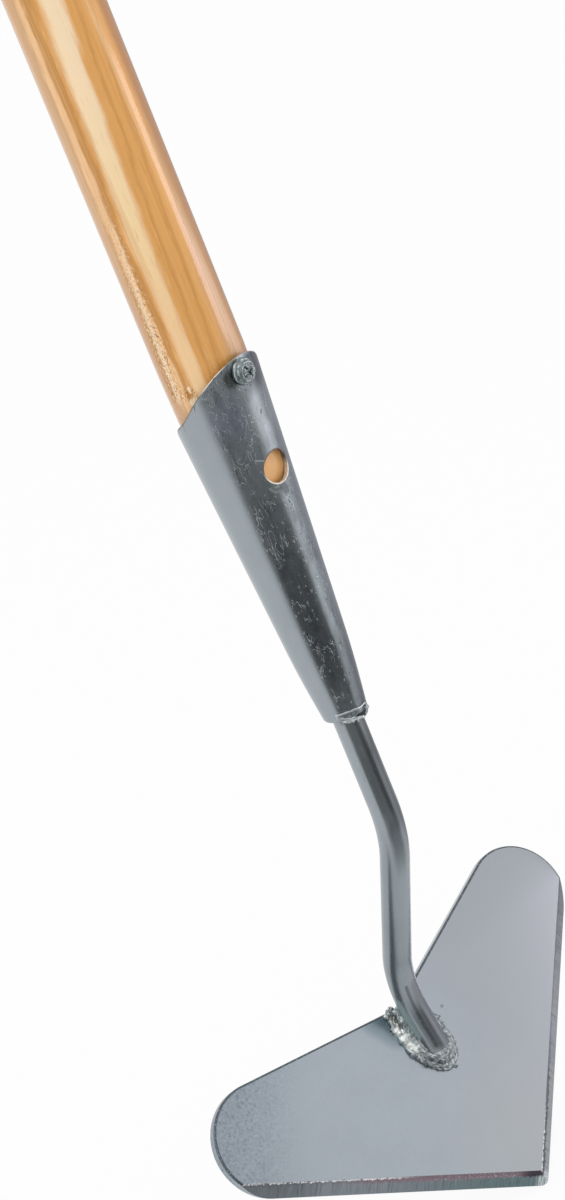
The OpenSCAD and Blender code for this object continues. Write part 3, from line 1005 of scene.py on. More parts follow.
def weld_finish(weld):
    """Plated weld metal in folds that flow round the bar's foot: bright on crests, sooty in creases."""
    w = Wiring.material("foil_weld")
    place = w.place()
    _, normal, upward = face_axes()
    offset = w.vector("SUBTRACT", place, face_point(6.0, 0.0, 0.0))
    level = w.dot(offset, normal)
    along = w.dot(offset, upward) / (13.0 * MM)
    across = w.dot(offset, (0, 1, 0)) / (7.5 * MM)
    square = along * along + across * across
    reach = square.math("SQRT", square)
    turn = along.math("ARCTAN2", across, along)
    flow = w.noise(w.join(turn * 4.5, reach * 13.0, level * 450.0), 1.0, 3.0, 0.6, 0.6)
    crack = w.noise(w.join(turn * 2.6, reach * 8.0, level * 300.0), 1.0, 2.0, 0.5, 0.9)
    crease = w.ease(abs(crack - 0.5), 0.040, 0.010)
    patch = w.stroke(place, face_point(14.8, -7.2, 1.4), face_point(7.0, -6.2, 1.8), 3.1)
    burnt = w.near(place, face_point(18.0, -6.0, 2.0), 4.0, 1.5)
    toe = w.near(place, face_point(-6.4, 0.8, 0.6), 1.6, 0.8)
    coat = w.paint(weld.bright, (
        (w.ease(flow, 0.40, 0.60), shaded(weld.bright, 0.46)),
        (w.ease(flow, 0.40, 0.34) * 0.8, srgb(240, 244, 244)),
        (crease * 0.65, weld.soot),
        (patch * w.ease(flow, 0.70, 0.56) * 0.90, srgb(244, 248, 245)),
        (burnt * w.ease(flow, 0.40, 0.55) * 0.7, srgb(96, 92, 76)),
        (toe * 0.8, srgb(60, 68, 72)),
    ))
    return w.surface(coat, 0.22 + flow * 0.25, crease * -0.7 - flow, 0.18, 0.8)


def bead_finish(weld, socket):
    """Plated bead on the socket's end: bright ridges, with painted shade in the hollow between them."""
    w = Wiring.material("bead_metal")
    place = w.place()
    _, y, z = w.split(place)
    height = z + socket.length
    fold = w.noise(place, 800.0, 2.0, 0.6)
    # Painted shade: near black in the hollow between the two ridges
    pocket_shade = w.fade(w.reach(place), 7.95, 7.75) * w.fade(height + y * 0.52, -1.3, -0.9)
    pocket_shade = pocket_shade * w.fade(y - height * 0.5, 3.1, 2.6)
    coat = w.paint(weld.bright, (
        (w.ease(fold, 0.50, 0.66) * 0.5, shaded(weld.bright, 0.5)),
        (pocket_shade * 0.95, srgb(36, 40, 38)),
    ))
    return w.surface(coat, 0.26 + fold * 0.15, fold, 0.12, 0.6)


def screw_finish(screw, seat):
    """Worn zinc plate on the screw's head, turned in bright arcs and dark in its recess, with painted
    highlight and shade on its two halves.
    """
    w = Wiring.material("screw_zinc")
    place = w.place()
    apex = seat @ Vector((0.5 * MM, 0.6 * MM, screw.head_height))
    smear = w.grain(place, 900, 300)
    spots = w.noise(place, 520.0, 2.0)
    phase = w.gap(place, apex) * (math.tau / (1.15 * MM)) + spots * 9.0
    arcs = w.ease(phase.sine(), 0.0, 0.7) * w.ease(spots, 0.60, 0.42)
    # Painted highlight and shade: brighter arcs on the head's left half along CAMERA_RIGHT, dark smears on
    # its right half
    left = w.fade(w.dot(w.vector("SUBTRACT", place, apex), CAMERA_RIGHT), 1.4, -0.6)
    coat = w.paint(screw.zinc, (
        (w.ease(smear, 0.45, 0.62) * 0.5, srgb(116, 126, 128)),
        (arcs * (left * 0.5 + 0.15), srgb(206, 218, 218)),
        ((1.0 - arcs) * (left * 0.4 + 0.2), srgb(92, 102, 104)),
        (w.ease(smear, 0.50, 0.60) * (1.0 - left) * 0.7, srgb(66, 70, 73)),
    ))
    return w.surface(coat, 0.30 + smear * 0.2, smear + arcs * 0.6, 0.12, 0.7)


class HOE_OT_handle(bpy.types.Operator):
    """Turn the wooden handle, with torn fibres beside the socket's mouth"""

    bl_idname = "hoe.handle"
    bl_label = "Handle"

    def execute(self, context):
        handle, socket, screw = context.scene.hoe_handle, context.scene.hoe_socket, context.scene.hoe_screw

        def bored(height):
            """Radius of the wood inside the socket at a height."""
            return taper_radius(socket, height) - socket.wall - handle.fit

        low, back, chamfer = -handle.depth, -socket.mouth_drop, 0.6 * MM
        rings = [(bored(low) - chamfer, low), (bored(low + chamfer), low + chamfer), (bored(back), back)]
        swell_steps, grip_steps = 40, 10
        for step in range(1, swell_steps + 1):
            part = step / swell_steps
            rings.append((bored(back) + (handle.radius - bored(back)) * part, back * (1 - part)))
        shoulder = handle.top - handle.grip_rounding
        rings.extend((handle.radius, shoulder * part) for part in (0.02, 0.05, 0.1, 0.25, 0.5, 0.75, 1.0))
        for step in range(1, grip_steps + 1):
            bend = math.pi / 2 * step / grip_steps
            radius = handle.radius - handle.grip_rounding * (1 - math.cos(bend))
            rings.append((radius, shoulder + handle.grip_rounding * math.sin(bend)))
        piece = start_ring("wood_handle", rings[0], ROUND_SIDES, "NGON")
        turn_rings(rings)
        close_edit(piece)
        self.tear(piece, handle.radius)
        self.bore(piece, socket, screw)
        smooth_faces(piece, 40)
        finish_piece(piece, "handle", "handle_wood", wood_finish(handle))
        return {"FINISHED"}

    @staticmethod
    def tear(piece, radius):
        """Pulls the wood in and out where fibres are torn, beside the mouth."""
        torn = piece.vertex_groups.new(name="torn")
        middle, depth, spread, rise = math.radians(-67), 6.5 * MM, 3.2 * MM, 4.5 * MM
        for vertex in piece.data.vertices:
            turn = math.atan2(vertex.co.y, vertex.co.x) - middle
            reach = math.hypot(turn * radius / spread, (vertex.co.z + depth) / rise)
            if reach < 1:
                torn.add([vertex.index], (1 - reach) ** 0.5, "REPLACE")
        roughen(piece, "torn_fibres", 1.1 * MM, 1.1 * MM, 0.60, "torn", True)

    @staticmethod
    def bore(piece, socket, screw):
        """Bores the hole for the screw, and a flat spot under the nail hole."""
        top, slack, flat_margin, flat_depth = 3 * MM, 0.05 * MM, 1.2 * MM, 2.7 * MM
        for seat, radius, depth in (
            (wall_seat(socket, screw.drop), screw.shank_radius + slack, screw.shank_length),
            (hole_seat(socket), socket.hole_radius + flat_margin, flat_depth),
        ):
            drill(piece, seat, radius, top, -depth, BORE_SIDES)


class HOE_OT_socket(bpy.types.Operator):
    """Roll the socket: slanted mouth, open seam, screw hole and nail hole"""

    bl_idname = "hoe.socket"
    bl_label = "Socket"

    def execute(self, context):
        socket, screw = context.scene.hoe_socket, context.scene.hoe_screw
        piece = self.shell(socket)
        self.slant(piece, socket)
        open_edit(piece, "VERT")
        bpy.ops.mesh.remove_doubles(threshold=0.12 * MM)
        leave_edit()
        bevel = {"width": socket.rounding, "segments": 3, "limit_method": "ANGLE",
                 "angle_limit": math.radians(40), "use_clamp_overlap": False, "material": 1}
        piece.data.materials.append(socket_finish(socket))
        piece.data.materials.append(lip_highlight_finish(socket))
        apply_modifier(piece, "BEVEL", bevel)
        self.slit(piece, socket)
        reach = socket.mouth_radius / 2
        drill(piece, wall_seat(socket, screw.drop), screw.shank_radius, reach, -reach, BAR_SIDES)
        drill(piece, hole_seat(socket), socket.hole_radius, reach, -reach, BAR_SIDES)
        self.brighten_hole(piece, socket)
        self.burr(piece, socket)
        smooth_faces(piece, 35)
        apply_modifier(piece, "WEIGHTED_NORMAL", {"weight": 80, "keep_sharp": True})
        finish_piece(piece, "socket", "socket_steel")
        return {"FINISHED"}

    @staticmethod
    def burr(piece, socket):
        """Joins a rounded bright lip to the rim of the nail hole."""
        leave_edit()
        thick, sink = 0.24 * MM, 0.12 * MM
        radius = socket.hole_radius - sink
        bpy.ops.mesh.primitive_torus_add(
            major_radius=radius, minor_radius=thick, major_segments=96, minor_segments=12
        )
        lip = start_piece("hole_lip")
        curve = taper_radius(socket, -socket.hole_drop) / math.cos(taper_turn(socket))
        for vertex in lip.data.vertices:
            across = Vector((vertex.co.x, vertex.co.y)).normalized().y * radius
            vertex.co.z += math.sqrt(curve ** 2 - across ** 2) - curve - sink
        seat_piece(lip, hole_seat(socket))
        lip.data.materials.append(piece.data.materials[1])
        make_active(piece)
        lip.select_set(True)
        bpy.ops.object.join()
        leave_edit()

    @staticmethod
    def brighten_hole(piece, socket):
        """Gives the wall of the nail hole the bright finish, and the lower end the plated one."""
        seat = hole_seat(socket).inverted()
        depth, slack = 4 * MM, 0.05 * MM
        for face in piece.data.polygons:
            place = seat @ face.center
            flat = math.hypot(place.x, place.y)
            if abs(place.z) < depth and flat < socket.hole_radius + slack:
                face.material_index = 1
            elif face.center.z < -0.5 * socket.length:
                face.material_index = 0

    @staticmethod
    def outside(socket, height):
        """Outside radius at a height, eased where the two tapers meet."""
        upper = taper_radius(socket, height)
        fall = (socket.waist_radius - socket.end_radius) / socket.waist_height
        lower = socket.end_radius + (height + socket.length) * fall
        ease = 0.5 * MM
        near = max(ease - abs(upper - lower), 0) / ease
        return min(upper, lower) - near * near * ease / 4

    def shell(self, socket):
        """Outer and inner wall as one turned skin, open at the top."""
        top = 3 * MM
        steps = 44
        drops = [top - (top + socket.length) * step / steps for step in range(steps + 1)]
        rings = [(self.outside(socket, height), height) for height in drops]
        rings.append((socket.bore_radius, -socket.length))
        for height in reversed(drops[:-1]):
            rings.append((max(self.outside(socket, height) - socket.wall, socket.bore_radius), height))
        piece = start_ring("steel_socket", rings[0], ROUND_SIDES, "NOTHING")
        turn_rings(rings)
        leave_edit()
        return piece

    @staticmethod
    def slant(piece, socket):
        """Cuts the slanted mouth and joins the two walls there."""
        fore = socket.mouth_side / socket.mouth_radius
        back = (socket.mouth_drop - socket.mouth_side) / taper_radius(socket, -socket.mouth_drop)
        ease, ramp = 4 * MM, 5 * MM

        def lift(x):
            """How far the mouth lies under the plane of its front half."""
            fold = (fore - back) * (max(0.0, ease - x) ** 2 / (4 * ease) if x > -ease else -x)
            corner = min(max((-x - ramp) / ramp, 0.0), 1.0)
            return fold - socket.corner * corner * corner * (3 - 2 * corner)

        normal = Vector((-fore, 0, 1)).normalized()
        for vertex in piece.data.vertices:
            vertex.co.z -= lift(vertex.co.x)
        open_edit(piece, "EDGE")
        bpy.ops.mesh.bisect(
            plane_co=(socket.mouth_radius, 0, 0), plane_no=normal, clear_outer=True, threshold=0.001 * MM
        )
        leave_edit()
        for vertex in piece.data.vertices:
            vertex.co.z += lift(vertex.co.x)
        open_edit(piece, "EDGE")
        bpy.ops.mesh.remove_doubles(threshold=0.005 * MM)
        choose(piece, "edges", lambda edge: edge.is_boundary)
        bpy.ops.mesh.bridge_edge_loops()
        close_edit(piece)

    @staticmethod
    def slit(piece, socket):
        """Opens the seam down the back."""
        size = (socket.mouth_radius * 1.98, socket.seam, socket.length * 1.2)
        cut(piece, box_cutter(size, (-socket.mouth_radius, 0, -socket.length / 2)))


class HOE_OT_screw(bpy.types.Operator):
    """Turn the domed screw, with worn rings and a cross recess"""

    bl_idname = "hoe.screw"
    bl_label = "Screw"

    def execute(self, context):
        screw, socket = context.scene.hoe_screw, context.scene.hoe_socket
        dome_height = screw.head_height - screw.rim_height
        dome = (screw.head_radius ** 2 + dome_height ** 2) / (2 * dome_height)
        rings = [
            (0.2 * MM, -screw.shank_length), (screw.shank_radius, screw.point - screw.shank_length),
            (screw.shank_radius, 0), (screw.head_radius * 0.97, 0), (screw.head_radius, 0.15 * MM),
            (screw.head_radius, screw.rim_height - 0.2 * MM),
        ]
        steps, ridge = 26, 0.07 * MM
        for step in range(1, steps):
            radius = screw.head_radius * (1 - step / steps)
            height = screw.head_height - dome + math.sqrt(dome ** 2 - radius ** 2)
            rings.append((radius, height + (ridge if step // 2 % 2 else -ridge)))
        piece = start_ring("domed_screw", rings[0], BAR_SIDES, "NGON")
        turn_rings(rings)
        close_edit(piece)
        slot, recess, turn = (4.4 * MM, 0.9 * MM, 1.7 * MM), (0.4 * MM, 0, screw.head_height), 0.35
        cut(piece, box_cutter(slot, recess, turn))
        cut(piece, box_cutter(slot, recess, turn + math.pi / 2))
        head = piece.vertex_groups.new(name="head")
        for vertex in piece.data.vertices:
            if vertex.co.z > 0.3 * MM:
                head.add([vertex.index], 1.0, "REPLACE")
        roughen(piece, "worn_head", 0.9 * MM, 0.28 * MM, 0.5, "head")
        seat = wall_seat(socket, screw.drop) @ Matrix.Rotation(-screw.lean, 4, "Y")
        seat_piece(piece, seat)
        smooth_faces(piece, 50)
        finish_piece(piece, "screw", "screw_steel", screw_finish(screw, seat))
        return {"FINISHED"}


class HOE_OT_neck(bpy.types.Operator):
    """Bend the neck from a round bar and cut its foot to the blade"""

    bl_idname = "hoe.neck"
    bl_label = "Neck"

    def execute(self, context):
        neck = context.scene.hoe_neck
        first, second, end = neck_corners()
        back_run = neck.back_radius * math.tan(neck.back_turn / 2)
        fore_run = neck.fore_radius * math.tan(neck.fore_turn / 2)
        middle = heading(neck.back_turn)
        last = heading(neck.back_turn - neck.fore_turn)
        piece = start_ring("bent_neck", (neck.radius, -neck.top), BAR_SIDES, "NGON")
        self.draw(Vector((0, 0, -neck.top)), first + Vector((0, 0, back_run)))
        centre = first + Vector((-neck.back_radius, 0, back_run))
        bpy.ops.mesh.spin(steps=16, angle=-neck.back_turn, center=centre, axis=(0, 1, 0))
        start, stop = first + middle * back_run, second - middle * fore_run
        self.draw(start, stop)
        side = Vector((math.cos(neck.back_turn), 0, -math.sin(neck.back_turn)))
        centre = stop + side * neck.fore_radius
        bpy.ops.mesh.spin(steps=20, angle=neck.fore_turn, center=centre, axis=(0, 1, 0))
        self.draw(second + last * fore_run, end)
        bpy.ops.mesh.select_all(action="SELECT")
        foot, normal, _ = face_axes()
        bpy.ops.mesh.bisect(plane_co=foot, plane_no=normal, use_fill=True, clear_inner=True)
        close_edit(piece)
        apply_modifier(piece, "BEVEL", {
            "width": 0.4 * MM, "segments": 2, "limit_method": "ANGLE", "angle_limit": math.radians(50),
        })
        smooth_faces(piece, 40)
        finish_piece(piece, "neck", "neck_steel", neck_finish(neck))
        return {"FINISHED"}

    @staticmethod
    def draw(start, stop):
        """Extrudes the selected end of the bar to a point, in short steps."""
        steps = max(1, round((stop - start).length / (4 * MM)))
        for _ in range(steps):
            bpy.ops.mesh.extrude_region_move(TRANSFORM_OT_translate={"value": (stop - start) / steps})


class HOE_OT_blade(bpy.types.Operator):
    """Cut the heart-shaped blade, grind its two edges and round the others"""

    bl_idname = "hoe.blade"
    bl_label = "Blade"

    def execute(self, context):
        blade = context.scene.hoe_blade
        piece = self.half_plate(blade)
        self.grind(piece, blade)
        apply_modifier(piece, "MIRROR", {"use_clip": True, "merge_threshold": 0.01 * MM})
        open_edit(piece)
        close_edit(piece)
        self.round_edges(piece, blade)
        self.mark_ground(piece, blade)
        seat_piece(piece, face_matrix(-blade.tip_drop, 0))
        smooth_faces(piece, 32)
        apply_modifier(piece, "WEIGHTED_NORMAL", {"weight": 100, "keep_sharp": True})
        finish_piece(piece, "blade", "blade_steel")
        return {"FINISHED"}

    @staticmethod
    def half_plate(blade):
        """Draws half of the outline from the point round the lobe to the notch, and thickens it."""
        half, slope = blade.tip_angle / 2, blade.notch_angle / 2
        lobe_x = blade.half_width - blade.lobe_radius
        edge_x = lobe_x + blade.lobe_radius * math.cos(half)
        lobe = Vector((lobe_x, edge_x / math.tan(half) + blade.lobe_radius * math.sin(half), 0))
        edge = Vector((edge_x, edge_x / math.tan(half), 0))
        notch = lobe + Vector((-math.cos(slope), math.sin(slope), 0)) * blade.lobe_radius
        inner = Vector((0, notch.y - notch.x / math.tan(slope), 0))
        run = blade.tip_radius / math.tan(half)
        tip = Vector((0, blade.tip_radius / math.sin(half), 0))
        leave_edit()
        bpy.ops.mesh.primitive_plane_add(size=MM, location=tip - Vector((0, blade.tip_radius, 0)))
        piece = start_piece("heart_blade")
        open_edit(piece, "VERT")
        bpy.ops.mesh.merge(type="CENTER")
        bpy.ops.mesh.spin(steps=6, angle=half - math.pi / 2, center=tip, axis=(0, 0, 1))
        start = Vector((run * math.sin(half), run * math.cos(half), 0))
        bpy.ops.mesh.extrude_vertices_move(TRANSFORM_OT_translate={"value": edge - start})
        bpy.ops.mesh.spin(steps=40, angle=slope - half - math.pi, center=lobe, axis=(0, 0, 1))
        bpy.ops.mesh.extrude_vertices_move(TRANSFORM_OT_translate={"value": inner - notch})
        bpy.ops.mesh.select_all(action="SELECT")
        bpy.ops.mesh.edge_face_add()
        bpy.ops.mesh.extrude_region_move(TRANSFORM_OT_translate={"value": (0, 0, -blade.plate)})
        close_edit(piece)
        return piece

    @staticmethod
    def grind(piece, blade):
        """Grinds the cutting edge and opens the half at the middle, ready for its mirror."""
        half = blade.tip_angle / 2
        outward = Vector((math.cos(half), -math.sin(half), 0))
        drop = blade.plate - blade.land
        normal = (outward * drop + Vector((0, 0, blade.bevel))).normalized()
        open_edit(piece)
        start = -outward * blade.bevel
        bpy.ops.mesh.bisect(plane_co=start, plane_no=normal, use_fill=True, clear_outer=True)
        choose(piece, "faces", lambda face: abs(face.calc_center_median().x) < TINY)
        bpy.ops.mesh.delete(type="FACE")
        leave_edit()

    @staticmethod
    def round_edges(piece, blade):
        """Rounds the sheared edges of the face and, less, those of the back."""

        def sheared(edge, side):
            """Whether an edge lies between a flat side and the outline."""
            normals = [face.normal.z * side for face in edge.link_faces]
            return len(normals) == 2 and max(normals) > 0.99 and abs(min(normals)) < 0.05

        for side, radius in ((1, blade.rounding), (-1, 0.25 * MM)):
            open_edit(piece, "EDGE")
            choose(piece, "edges", lambda edge: sheared(edge, side))
            bpy.ops.mesh.bevel(offset=radius, segments=3, affect="EDGES", clamp_overlap=True)
            close_edit(piece)

    @staticmethod
    def mark_ground(piece, blade):
        """Gives the plate its finishes: plated, ground on the bevels and painted dark as shade on the
        rounded outline.
        """
        for finish in (blade_finish(blade), ground_finish(blade), rolled_edge_finish()):
            piece.data.materials.append(finish)
        steep = blade.bevel / math.hypot(blade.bevel, blade.plate - blade.land)
        least = 20 * MM * MM
        for face in piece.data.polygons:
            if abs(face.normal.z - steep) < 0.02 and face.area > least:
                face.material_index = 1
            elif 0.05 < face.normal.z < 0.995:
                face.material_index = 2


def steps_along(row, parts, pace):
    """Points in short steps along a row of points, paced by the first parts of a point."""
    for start, stop in zip(row, row[1:]):
        count = max(2, round(math.dist(start[:parts], stop[:parts]) / pace))
        for step in range(count):
            yield [low + (high - low) * (step / count) for low, high in zip(start, stop)]


def bead(name, drops, voxel):
    """Fuses drops of weld metal, each a place and a radius, into one skin."""
    leave_edit()
    bpy.ops.mesh.primitive_ico_sphere_add(subdivisions=3, radius=1.0, location=(0, 0, 0))
    first = bpy.context.object
    pieces = []
    for place, radius in drops:
        drop = first.copy()
        drop.data = first.data.copy()
        bpy.context.collection.objects.link(drop)
        drop.location = place
        drop.scale = (radius, radius, radius)
        pieces.append(drop)
    bpy.data.objects.remove(first, do_unlink=True)
    leave_edit()
    for drop in pieces:
        drop.select_set(True)
    bpy.context.view_layer.objects.active = pieces[0]
    bpy.ops.object.join()
    piece = start_piece(name)
    apply_modifier(piece, "REMESH", {"mode": "VOXEL", "voxel_size": voxel})
    apply_modifier(piece, "SMOOTH", {"factor": 0.5, "iterations": 3})
    return piece


class HOE_OT_socket_weld(bpy.types.Operator):
    """Lay the weld bead between the socket's end and the neck"""

    bl_idname = "hoe.socket_weld"
    bl_label = "Socket weld"

    def execute(self, context):
        weld, socket = context.scene.hoe_weld, context.scene.hoe_socket
        chance = random.Random(5)
        end = -socket.length / MM
        # Ridges of drops: degrees about the handle axis, radius and height over the socket's end
        upper = [(-63, 7.65, 2.8), (-38, 7.80, 2.9), (-15, 7.85, 2.6), (0, 7.85, 2.1), (14, 7.85, 2.1),
                 (24, 7.85, 1.8), (28, 7.75, 0.6), (27, 7.55, -0.8), (21, 7.10, -1.8), (8, 6.65, -2.2)]
        lower = [(-63, 7.55, 1.8), (-51, 7.50, 1.2), (-43, 7.45, 0.7), (-33, 7.40, 0.2), (-22, 7.30, -0.4),
                 (-10, 6.95, -1.2), (1, 6.75, -1.75), (8, 6.65, -2.2)]
        stray = [(-62, 7.60, 2.2), (-52, 7.60, 2.0), (-45, 7.60, 1.8)]
        drops = []
        for ridge, size in ((upper, 0.36), (lower, 0.38), (stray, 0.22)):
            for turn, radius, rise in steps_along(ridge, 1, 1.6):
                spot = round_point(radius, turn, end + rise + chance.uniform(-0.05, 0.05))
                drops.append((spot, size * chance.uniform(0.85, 1.15) * MM))
        # The fill under the ridges, thinner towards both ends
        for turn in range(-52, 66, 2):
            thick = 1.5 * min(1.0, (turn + 66) / 30, (80 - turn) / 25)
            drops.append((round_point(6.05, turn, end - 0.25), thick * MM))
            if turn > -6:
                drops.append((round_point(5.1, turn, end - 1.5), thick * 0.75 * MM))
        for turn, radius, rise, size in (
            (0, 7.7, 1.8, 0.6), (42, 7.1, -0.8, 0.8), (-47, 6.9, -0.6, 0.4),
            (-39, 6.2, -1.5, 0.4), (-27, 6.5, -1.6, 0.4), (-6, 5.2, -2.9, 0.4),
        ):
            drops.append((round_point(radius, turn, end + rise), size * MM))
        piece = bead("socket_bead", drops, weld.voxel * 0.8)
        roughen(piece, "bead_ripples", 0.8 * MM, weld.rough * 0.22)
        smooth_faces(piece, 60)
        finish_piece(piece, "socket_weld", "weld_metal", bead_finish(weld, socket))
        return {"FINISHED"}


class HOE_OT_blade_weld(bpy.types.Operator):
    """Lay the rough weld round the neck's foot on the blade"""

    bl_idname = "hoe.blade_weld"
    bl_label = "Blade weld"

    def execute(self, context):
        weld = context.scene.hoe_weld
        chance = random.Random(11)
        # Rows of drops on the face: millimetres along it and across it from the bar's end, and a radius
        outer = [(20.0, -5.2, 1.7), (16.5, -6.2, 1.9), (10.0, -6.9, 2.3), (5.0, -6.6, 2.3), (1.0, -5.2, 2.3),
                 (-2.0, -3.4, 2.3), (-4.2, -0.8, 2.2), (-4.8, 1.6, 2.0), (-3.6, 4.2, 1.9), (0.0, 6.4, 1.8),
                 (5.0, 7.6, 1.6), (10.0, 7.8, 1.4), (14.0, 6.8, 1.3)]
        inner = [(20.0, -3.6, 1.9), (12.0, -4.4, 2.3), (5.0, -4.6, 2.4), (1.6, -3.8, 2.6), (0.2, 0.0, 3.1),
                 (0.8, 3.4, 2.6), (3.6, 4.8, 2.1), (10.0, 5.2, 1.9), (15.0, 4.4, 1.6)]
        drops = []
        for row, lift, climb in ((outer, 0.25, 0.02), (inner, 1.5, 0.11)):
            for along, across, radius in steps_along(row, 2, 0.7):
                height = lift + climb * max(along, 0) + chance.uniform(-0.15, 0.3)
                spot = (along + chance.uniform(-0.4, 0.4), across + chance.uniform(-0.35, 0.35), height)
                drops.append((face_point(*spot), radius * chance.uniform(0.86, 1.08) * MM))
        # Single drops, heaped up against the bar
        for along, across, radius, height in (
            (0.4, -3.9, 2.0, 3.7), (-0.1, -2.5, 2.2, 4.2), (-0.3, -0.8, 2.3, 4.6), (-0.3, 0.8, 2.3, 4.6),
            (-0.1, 2.5, 2.3, 4.3), (0.5, 3.9, 2.2, 3.8), (-2.0, -1.6, 2.2, 3.0), (-2.2, 0.4, 2.3, 3.1),
            (-1.8, 2.4, 2.2, 3.0), (1.2, 4.9, 2.1, 3.4), (2.6, 5.1, 1.9, 3.6), (4.2, 5.0, 1.9, 3.9),
            (6.0, 5.1, 1.8, 4.2), (8.0, 5.2, 1.6, 4.6), (10.0, 5.2, 1.4, 5.0), (12.0, 5.2, 1.0, 5.4),
            (21.6, -6.4, 1.2, 0.6), (22.0, -5.0, 1.5, 1.8), (22.6, -4.8, 1.2, 3.4),
        ):
            drops.append((face_point(along, across, height), radius * MM))
        crumbs, away = 46, 2.0
        for _ in range(crumbs):
            along, across, _ = chance.choice(outer)
            turn = chance.uniform(0, math.tau)
            spot = (along + away * math.cos(turn), across + away * math.sin(turn), chance.uniform(0.1, 1.6))
            drops.append((face_point(*spot), chance.uniform(0.35, 0.8) * MM))
        drops.append((face_point(-7.2, 2.0, 0.2), 0.9 * MM))
        piece = bead("blade_bead", drops, weld.voxel)
        roughen(piece, "crumpled", 1.6 * MM, weld.rough * 0.55, 0.5, "", True)
        roughen(piece, "pitted", 0.7 * MM, weld.rough * 0.25)
        side = 60 * MM
        cutter = box_cutter((side, side, side))
        seat_piece(cutter, face_matrix(0, -side / 2))
        cut(piece, cutter)
        # Only what hangs together with the lowest point is kept, without loose crumbs
        lowest = min(vertex.co.z for vertex in piece.data.vertices)
        open_edit(piece)
        bpy.ops.mesh.quads_convert_to_tris()
        choose(piece, "verts", lambda vertex: vertex.co.z <= lowest)
        bpy.ops.mesh.select_linked()
        bpy.ops.mesh.select_all(action="INVERT")
        bpy.ops.mesh.delete(type="VERT")
        close_edit(piece)
        smooth_faces(piece, 60)
        finish_piece(piece, "blade_weld", "weld_metal", weld_finish(weld))
        return {"FINISHED"}


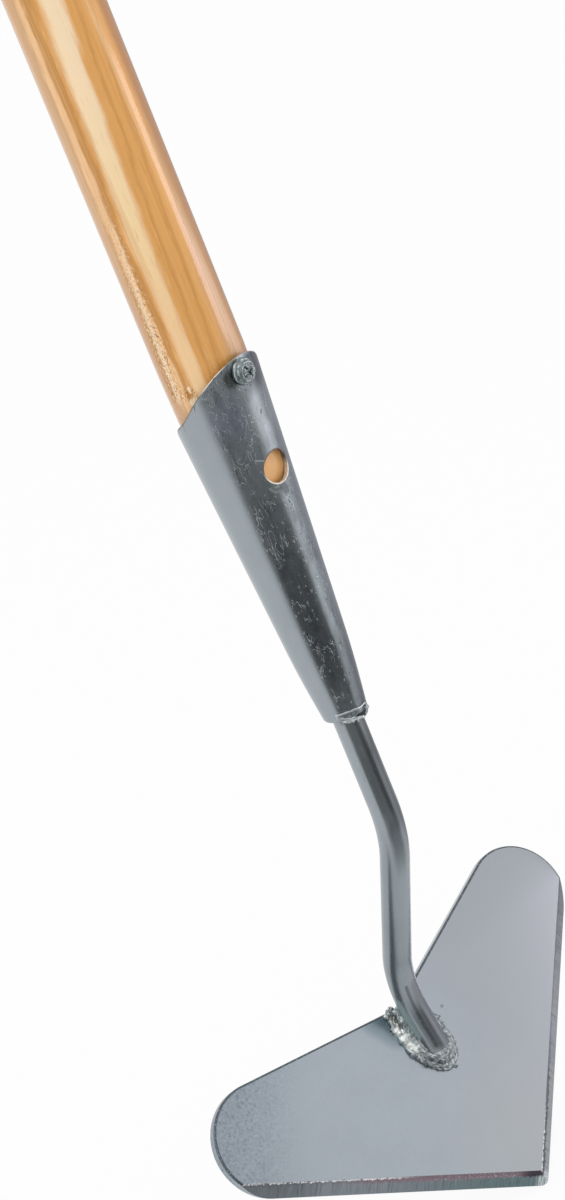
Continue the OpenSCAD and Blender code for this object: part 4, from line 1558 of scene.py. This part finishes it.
class HOE_OT_stage(bpy.types.Operator):
    """Set the white floor, the studio, two soft lamps and the camera"""

    bl_idname = "hoe.stage"
    bl_label = "Stage"

    def execute(self, context):
        stage = context.scene.hoe_stage
        context.scene.view_settings.view_transform = "Standard"
        self.floor(stage)
        self.studio(context.scene, stage)
        self.lamp("key", (-0.55, -1.25, 1.15), (0, 0, -0.05), 1.2, 1.2, 5.0, WHITE)
        self.lamp("side", (0.715, 0.84, -0.18), (0, 0, 0.04), 0.30, 0.24, 1.15, (1.0, 0.90, 0.95))
        self.camera(context.scene)
        return {"FINISHED"}

    @staticmethod
    def sector(w, direction, middle, low, high):
        """Mask of the level directions within a sector of the studio."""
        level = w.vector("NORMALIZE", w.flat(direction))
        return w.ease(w.dot(level, middle), low, high)

    def floor(self, stage):
        """White paper that keeps the shadow and, to metal, darkens on the camera's side and its right."""
        leave_edit()
        bpy.ops.mesh.primitive_plane_add(size=2 * stage.reach, location=(0, 0, -stage.floor))
        piece = start_piece("stage_floor")
        open_edit(piece)
        bpy.ops.mesh.subdivide(number_cuts=3)
        leave_edit()
        w = Wiring.material("stage_paper")
        place = w.place()
        reach = w.reach(place)
        camera, glossy, through = w.rays()
        far = w.ease(reach, 0.10, 0.32) * (1.0 - w.ease(reach, 0.48, 0.85) * 0.55)
        dim = self.sector(w, place, DIM_SIDE, 0.66, 0.93) * w.ease(reach, 0.08, 0.25) * glossy
        dark = self.sector(w, place, DARK_SIDE, 0.50, 0.70) * far * glossy
        white = w.paint(WHITE, ((dim, (0.50, 0.50, 0.53)), (dark, stage.room)))
        glow = w.node("ShaderNodeEmission", None, {"Color": white, "Strength": 1.0})
        paper = w.node("ShaderNodeBsdfDiffuse", None, {"Color": opaque(stage.paper)})
        seen = (camera * 0.90).most(glossy).most(through)
        shader = w.node("ShaderNodeMixShader", None, {0: seen, 1: paper, 2: glow})
        w.node("ShaderNodeOutputMaterial", None, {"Surface": shader})
        piece.data.materials.append(w.owner)

    def studio(self, scene, stage):
        """White studio all round and, to metal, dark where the camera stands."""
        world = bpy.data.worlds.new("studio")
        world.use_nodes = True
        world.node_tree.nodes.clear()
        scene.world = world
        w = Wiring(world.node_tree)
        direction = w.node("ShaderNodeTexCoord", out="Generated")
        height = w.split(direction)[2]
        camera, glossy, through = w.rays()
        dark = self.sector(w, direction, DARK_SIDE, 0.50, 0.70) * w.ease(height, 0.30, 0.05)
        room = w.mix(glossy, WHITE, w.mix(dark, WHITE, stage.room))
        level = camera.most(through).most(glossy)
        back = w.node("ShaderNodeBackground", None, {"Color": room, "Strength": 0.95 + level * 0.05})
        w.node("ShaderNodeOutputWorld", None, {"Surface": back})

    @staticmethod
    def lamp(name, place, aim, width, height, power, colour):
        """A soft area lamp turned to a point."""
        leave_edit()
        bpy.ops.object.light_add(type="AREA", location=place)
        lamp = bpy.context.object
        lamp.name = "lamp_" + name
        lamp.data.shape = "RECTANGLE"
        lamp.data.size = width
        lamp.data.size_y = height
        lamp.data.energy = power
        lamp.data.color = colour
        lamp.rotation_euler = (Vector(aim) - Vector(place)).to_track_quat("-Z", "Y").to_euler()

    @staticmethod
    def camera(scene):
        """The camera of the photograph."""
        leave_edit()
        bpy.ops.object.camera_add(location=CAMERA_PLACE)
        camera = bpy.context.object
        camera.name = "photo_camera"
        camera.data.lens = CAMERA_LENS
        camera.data.sensor_width = CAMERA_SENSOR
        camera.data.clip_start = 0.01
        camera.data.clip_end = 50.0
        turn = Matrix((CAMERA_RIGHT, CAMERA_UP, CAMERA_BACK)).transposed()
        camera.rotation_mode = "QUATERNION"
        camera.rotation_quaternion = turn.to_quaternion()
        scene.camera = camera


OPERATORS = (
    HOE_OT_stage,
    HOE_OT_handle,
    HOE_OT_socket,
    HOE_OT_screw,
    HOE_OT_neck,
    HOE_OT_blade,
    HOE_OT_socket_weld,
    HOE_OT_blade_weld,
)
SETTINGS = {
    "hoe_handle": HandleSettings,
    "hoe_socket": SocketSettings,
    "hoe_screw": ScrewSettings,
    "hoe_neck": NeckSettings,
    "hoe_blade": BladeSettings,
    "hoe_weld": WeldSettings,
    "hoe_stage": StageSettings,
}


class HOE_PT_panel(bpy.types.Panel):
    """The hoe's pieces and their settings"""

    bl_idname = "HOE_PT_panel"
    bl_label = "Warren hoe"
    bl_space_type = "VIEW_3D"
    bl_region_type = "UI"
    bl_category = "Hoe"

    def draw(self, context):
        for name, group in SETTINGS.items():
            box = self.layout.box()
            box.label(text=name.replace("hoe_", "").capitalize())
            for key in group.__annotations__:
                box.prop(getattr(context.scene, name), key)
        for operator in OPERATORS:
            self.layout.operator(operator.bl_idname)


def register():
    """Registers the settings, the operators and the panel."""
    for name, group in SETTINGS.items():
        bpy.utils.register_class(group)
        setattr(bpy.types.Scene, name, bpy.props.PointerProperty(type=group))
    for operator in OPERATORS:
        bpy.utils.register_class(operator)
    bpy.utils.register_class(HOE_PT_panel)


def unregister():
    """Takes the panel, the operators and the settings away again."""
    bpy.utils.unregister_class(HOE_PT_panel)
    for operator in reversed(OPERATORS):
        bpy.utils.unregister_class(operator)
    for name, group in reversed(SETTINGS.items()):
        delattr(bpy.types.Scene, name)
        bpy.utils.unregister_class(group)


def main():
    """Models every piece in order."""
    register()
    bpy.ops.hoe.stage()
    bpy.ops.hoe.handle()
    bpy.ops.hoe.socket()
    bpy.ops.hoe.screw()
    bpy.ops.hoe.neck()
    bpy.ops.hoe.blade()
    bpy.ops.hoe.socket_weld()
    bpy.ops.hoe.blade_weld()


if __name__ == "__main__":
    main()
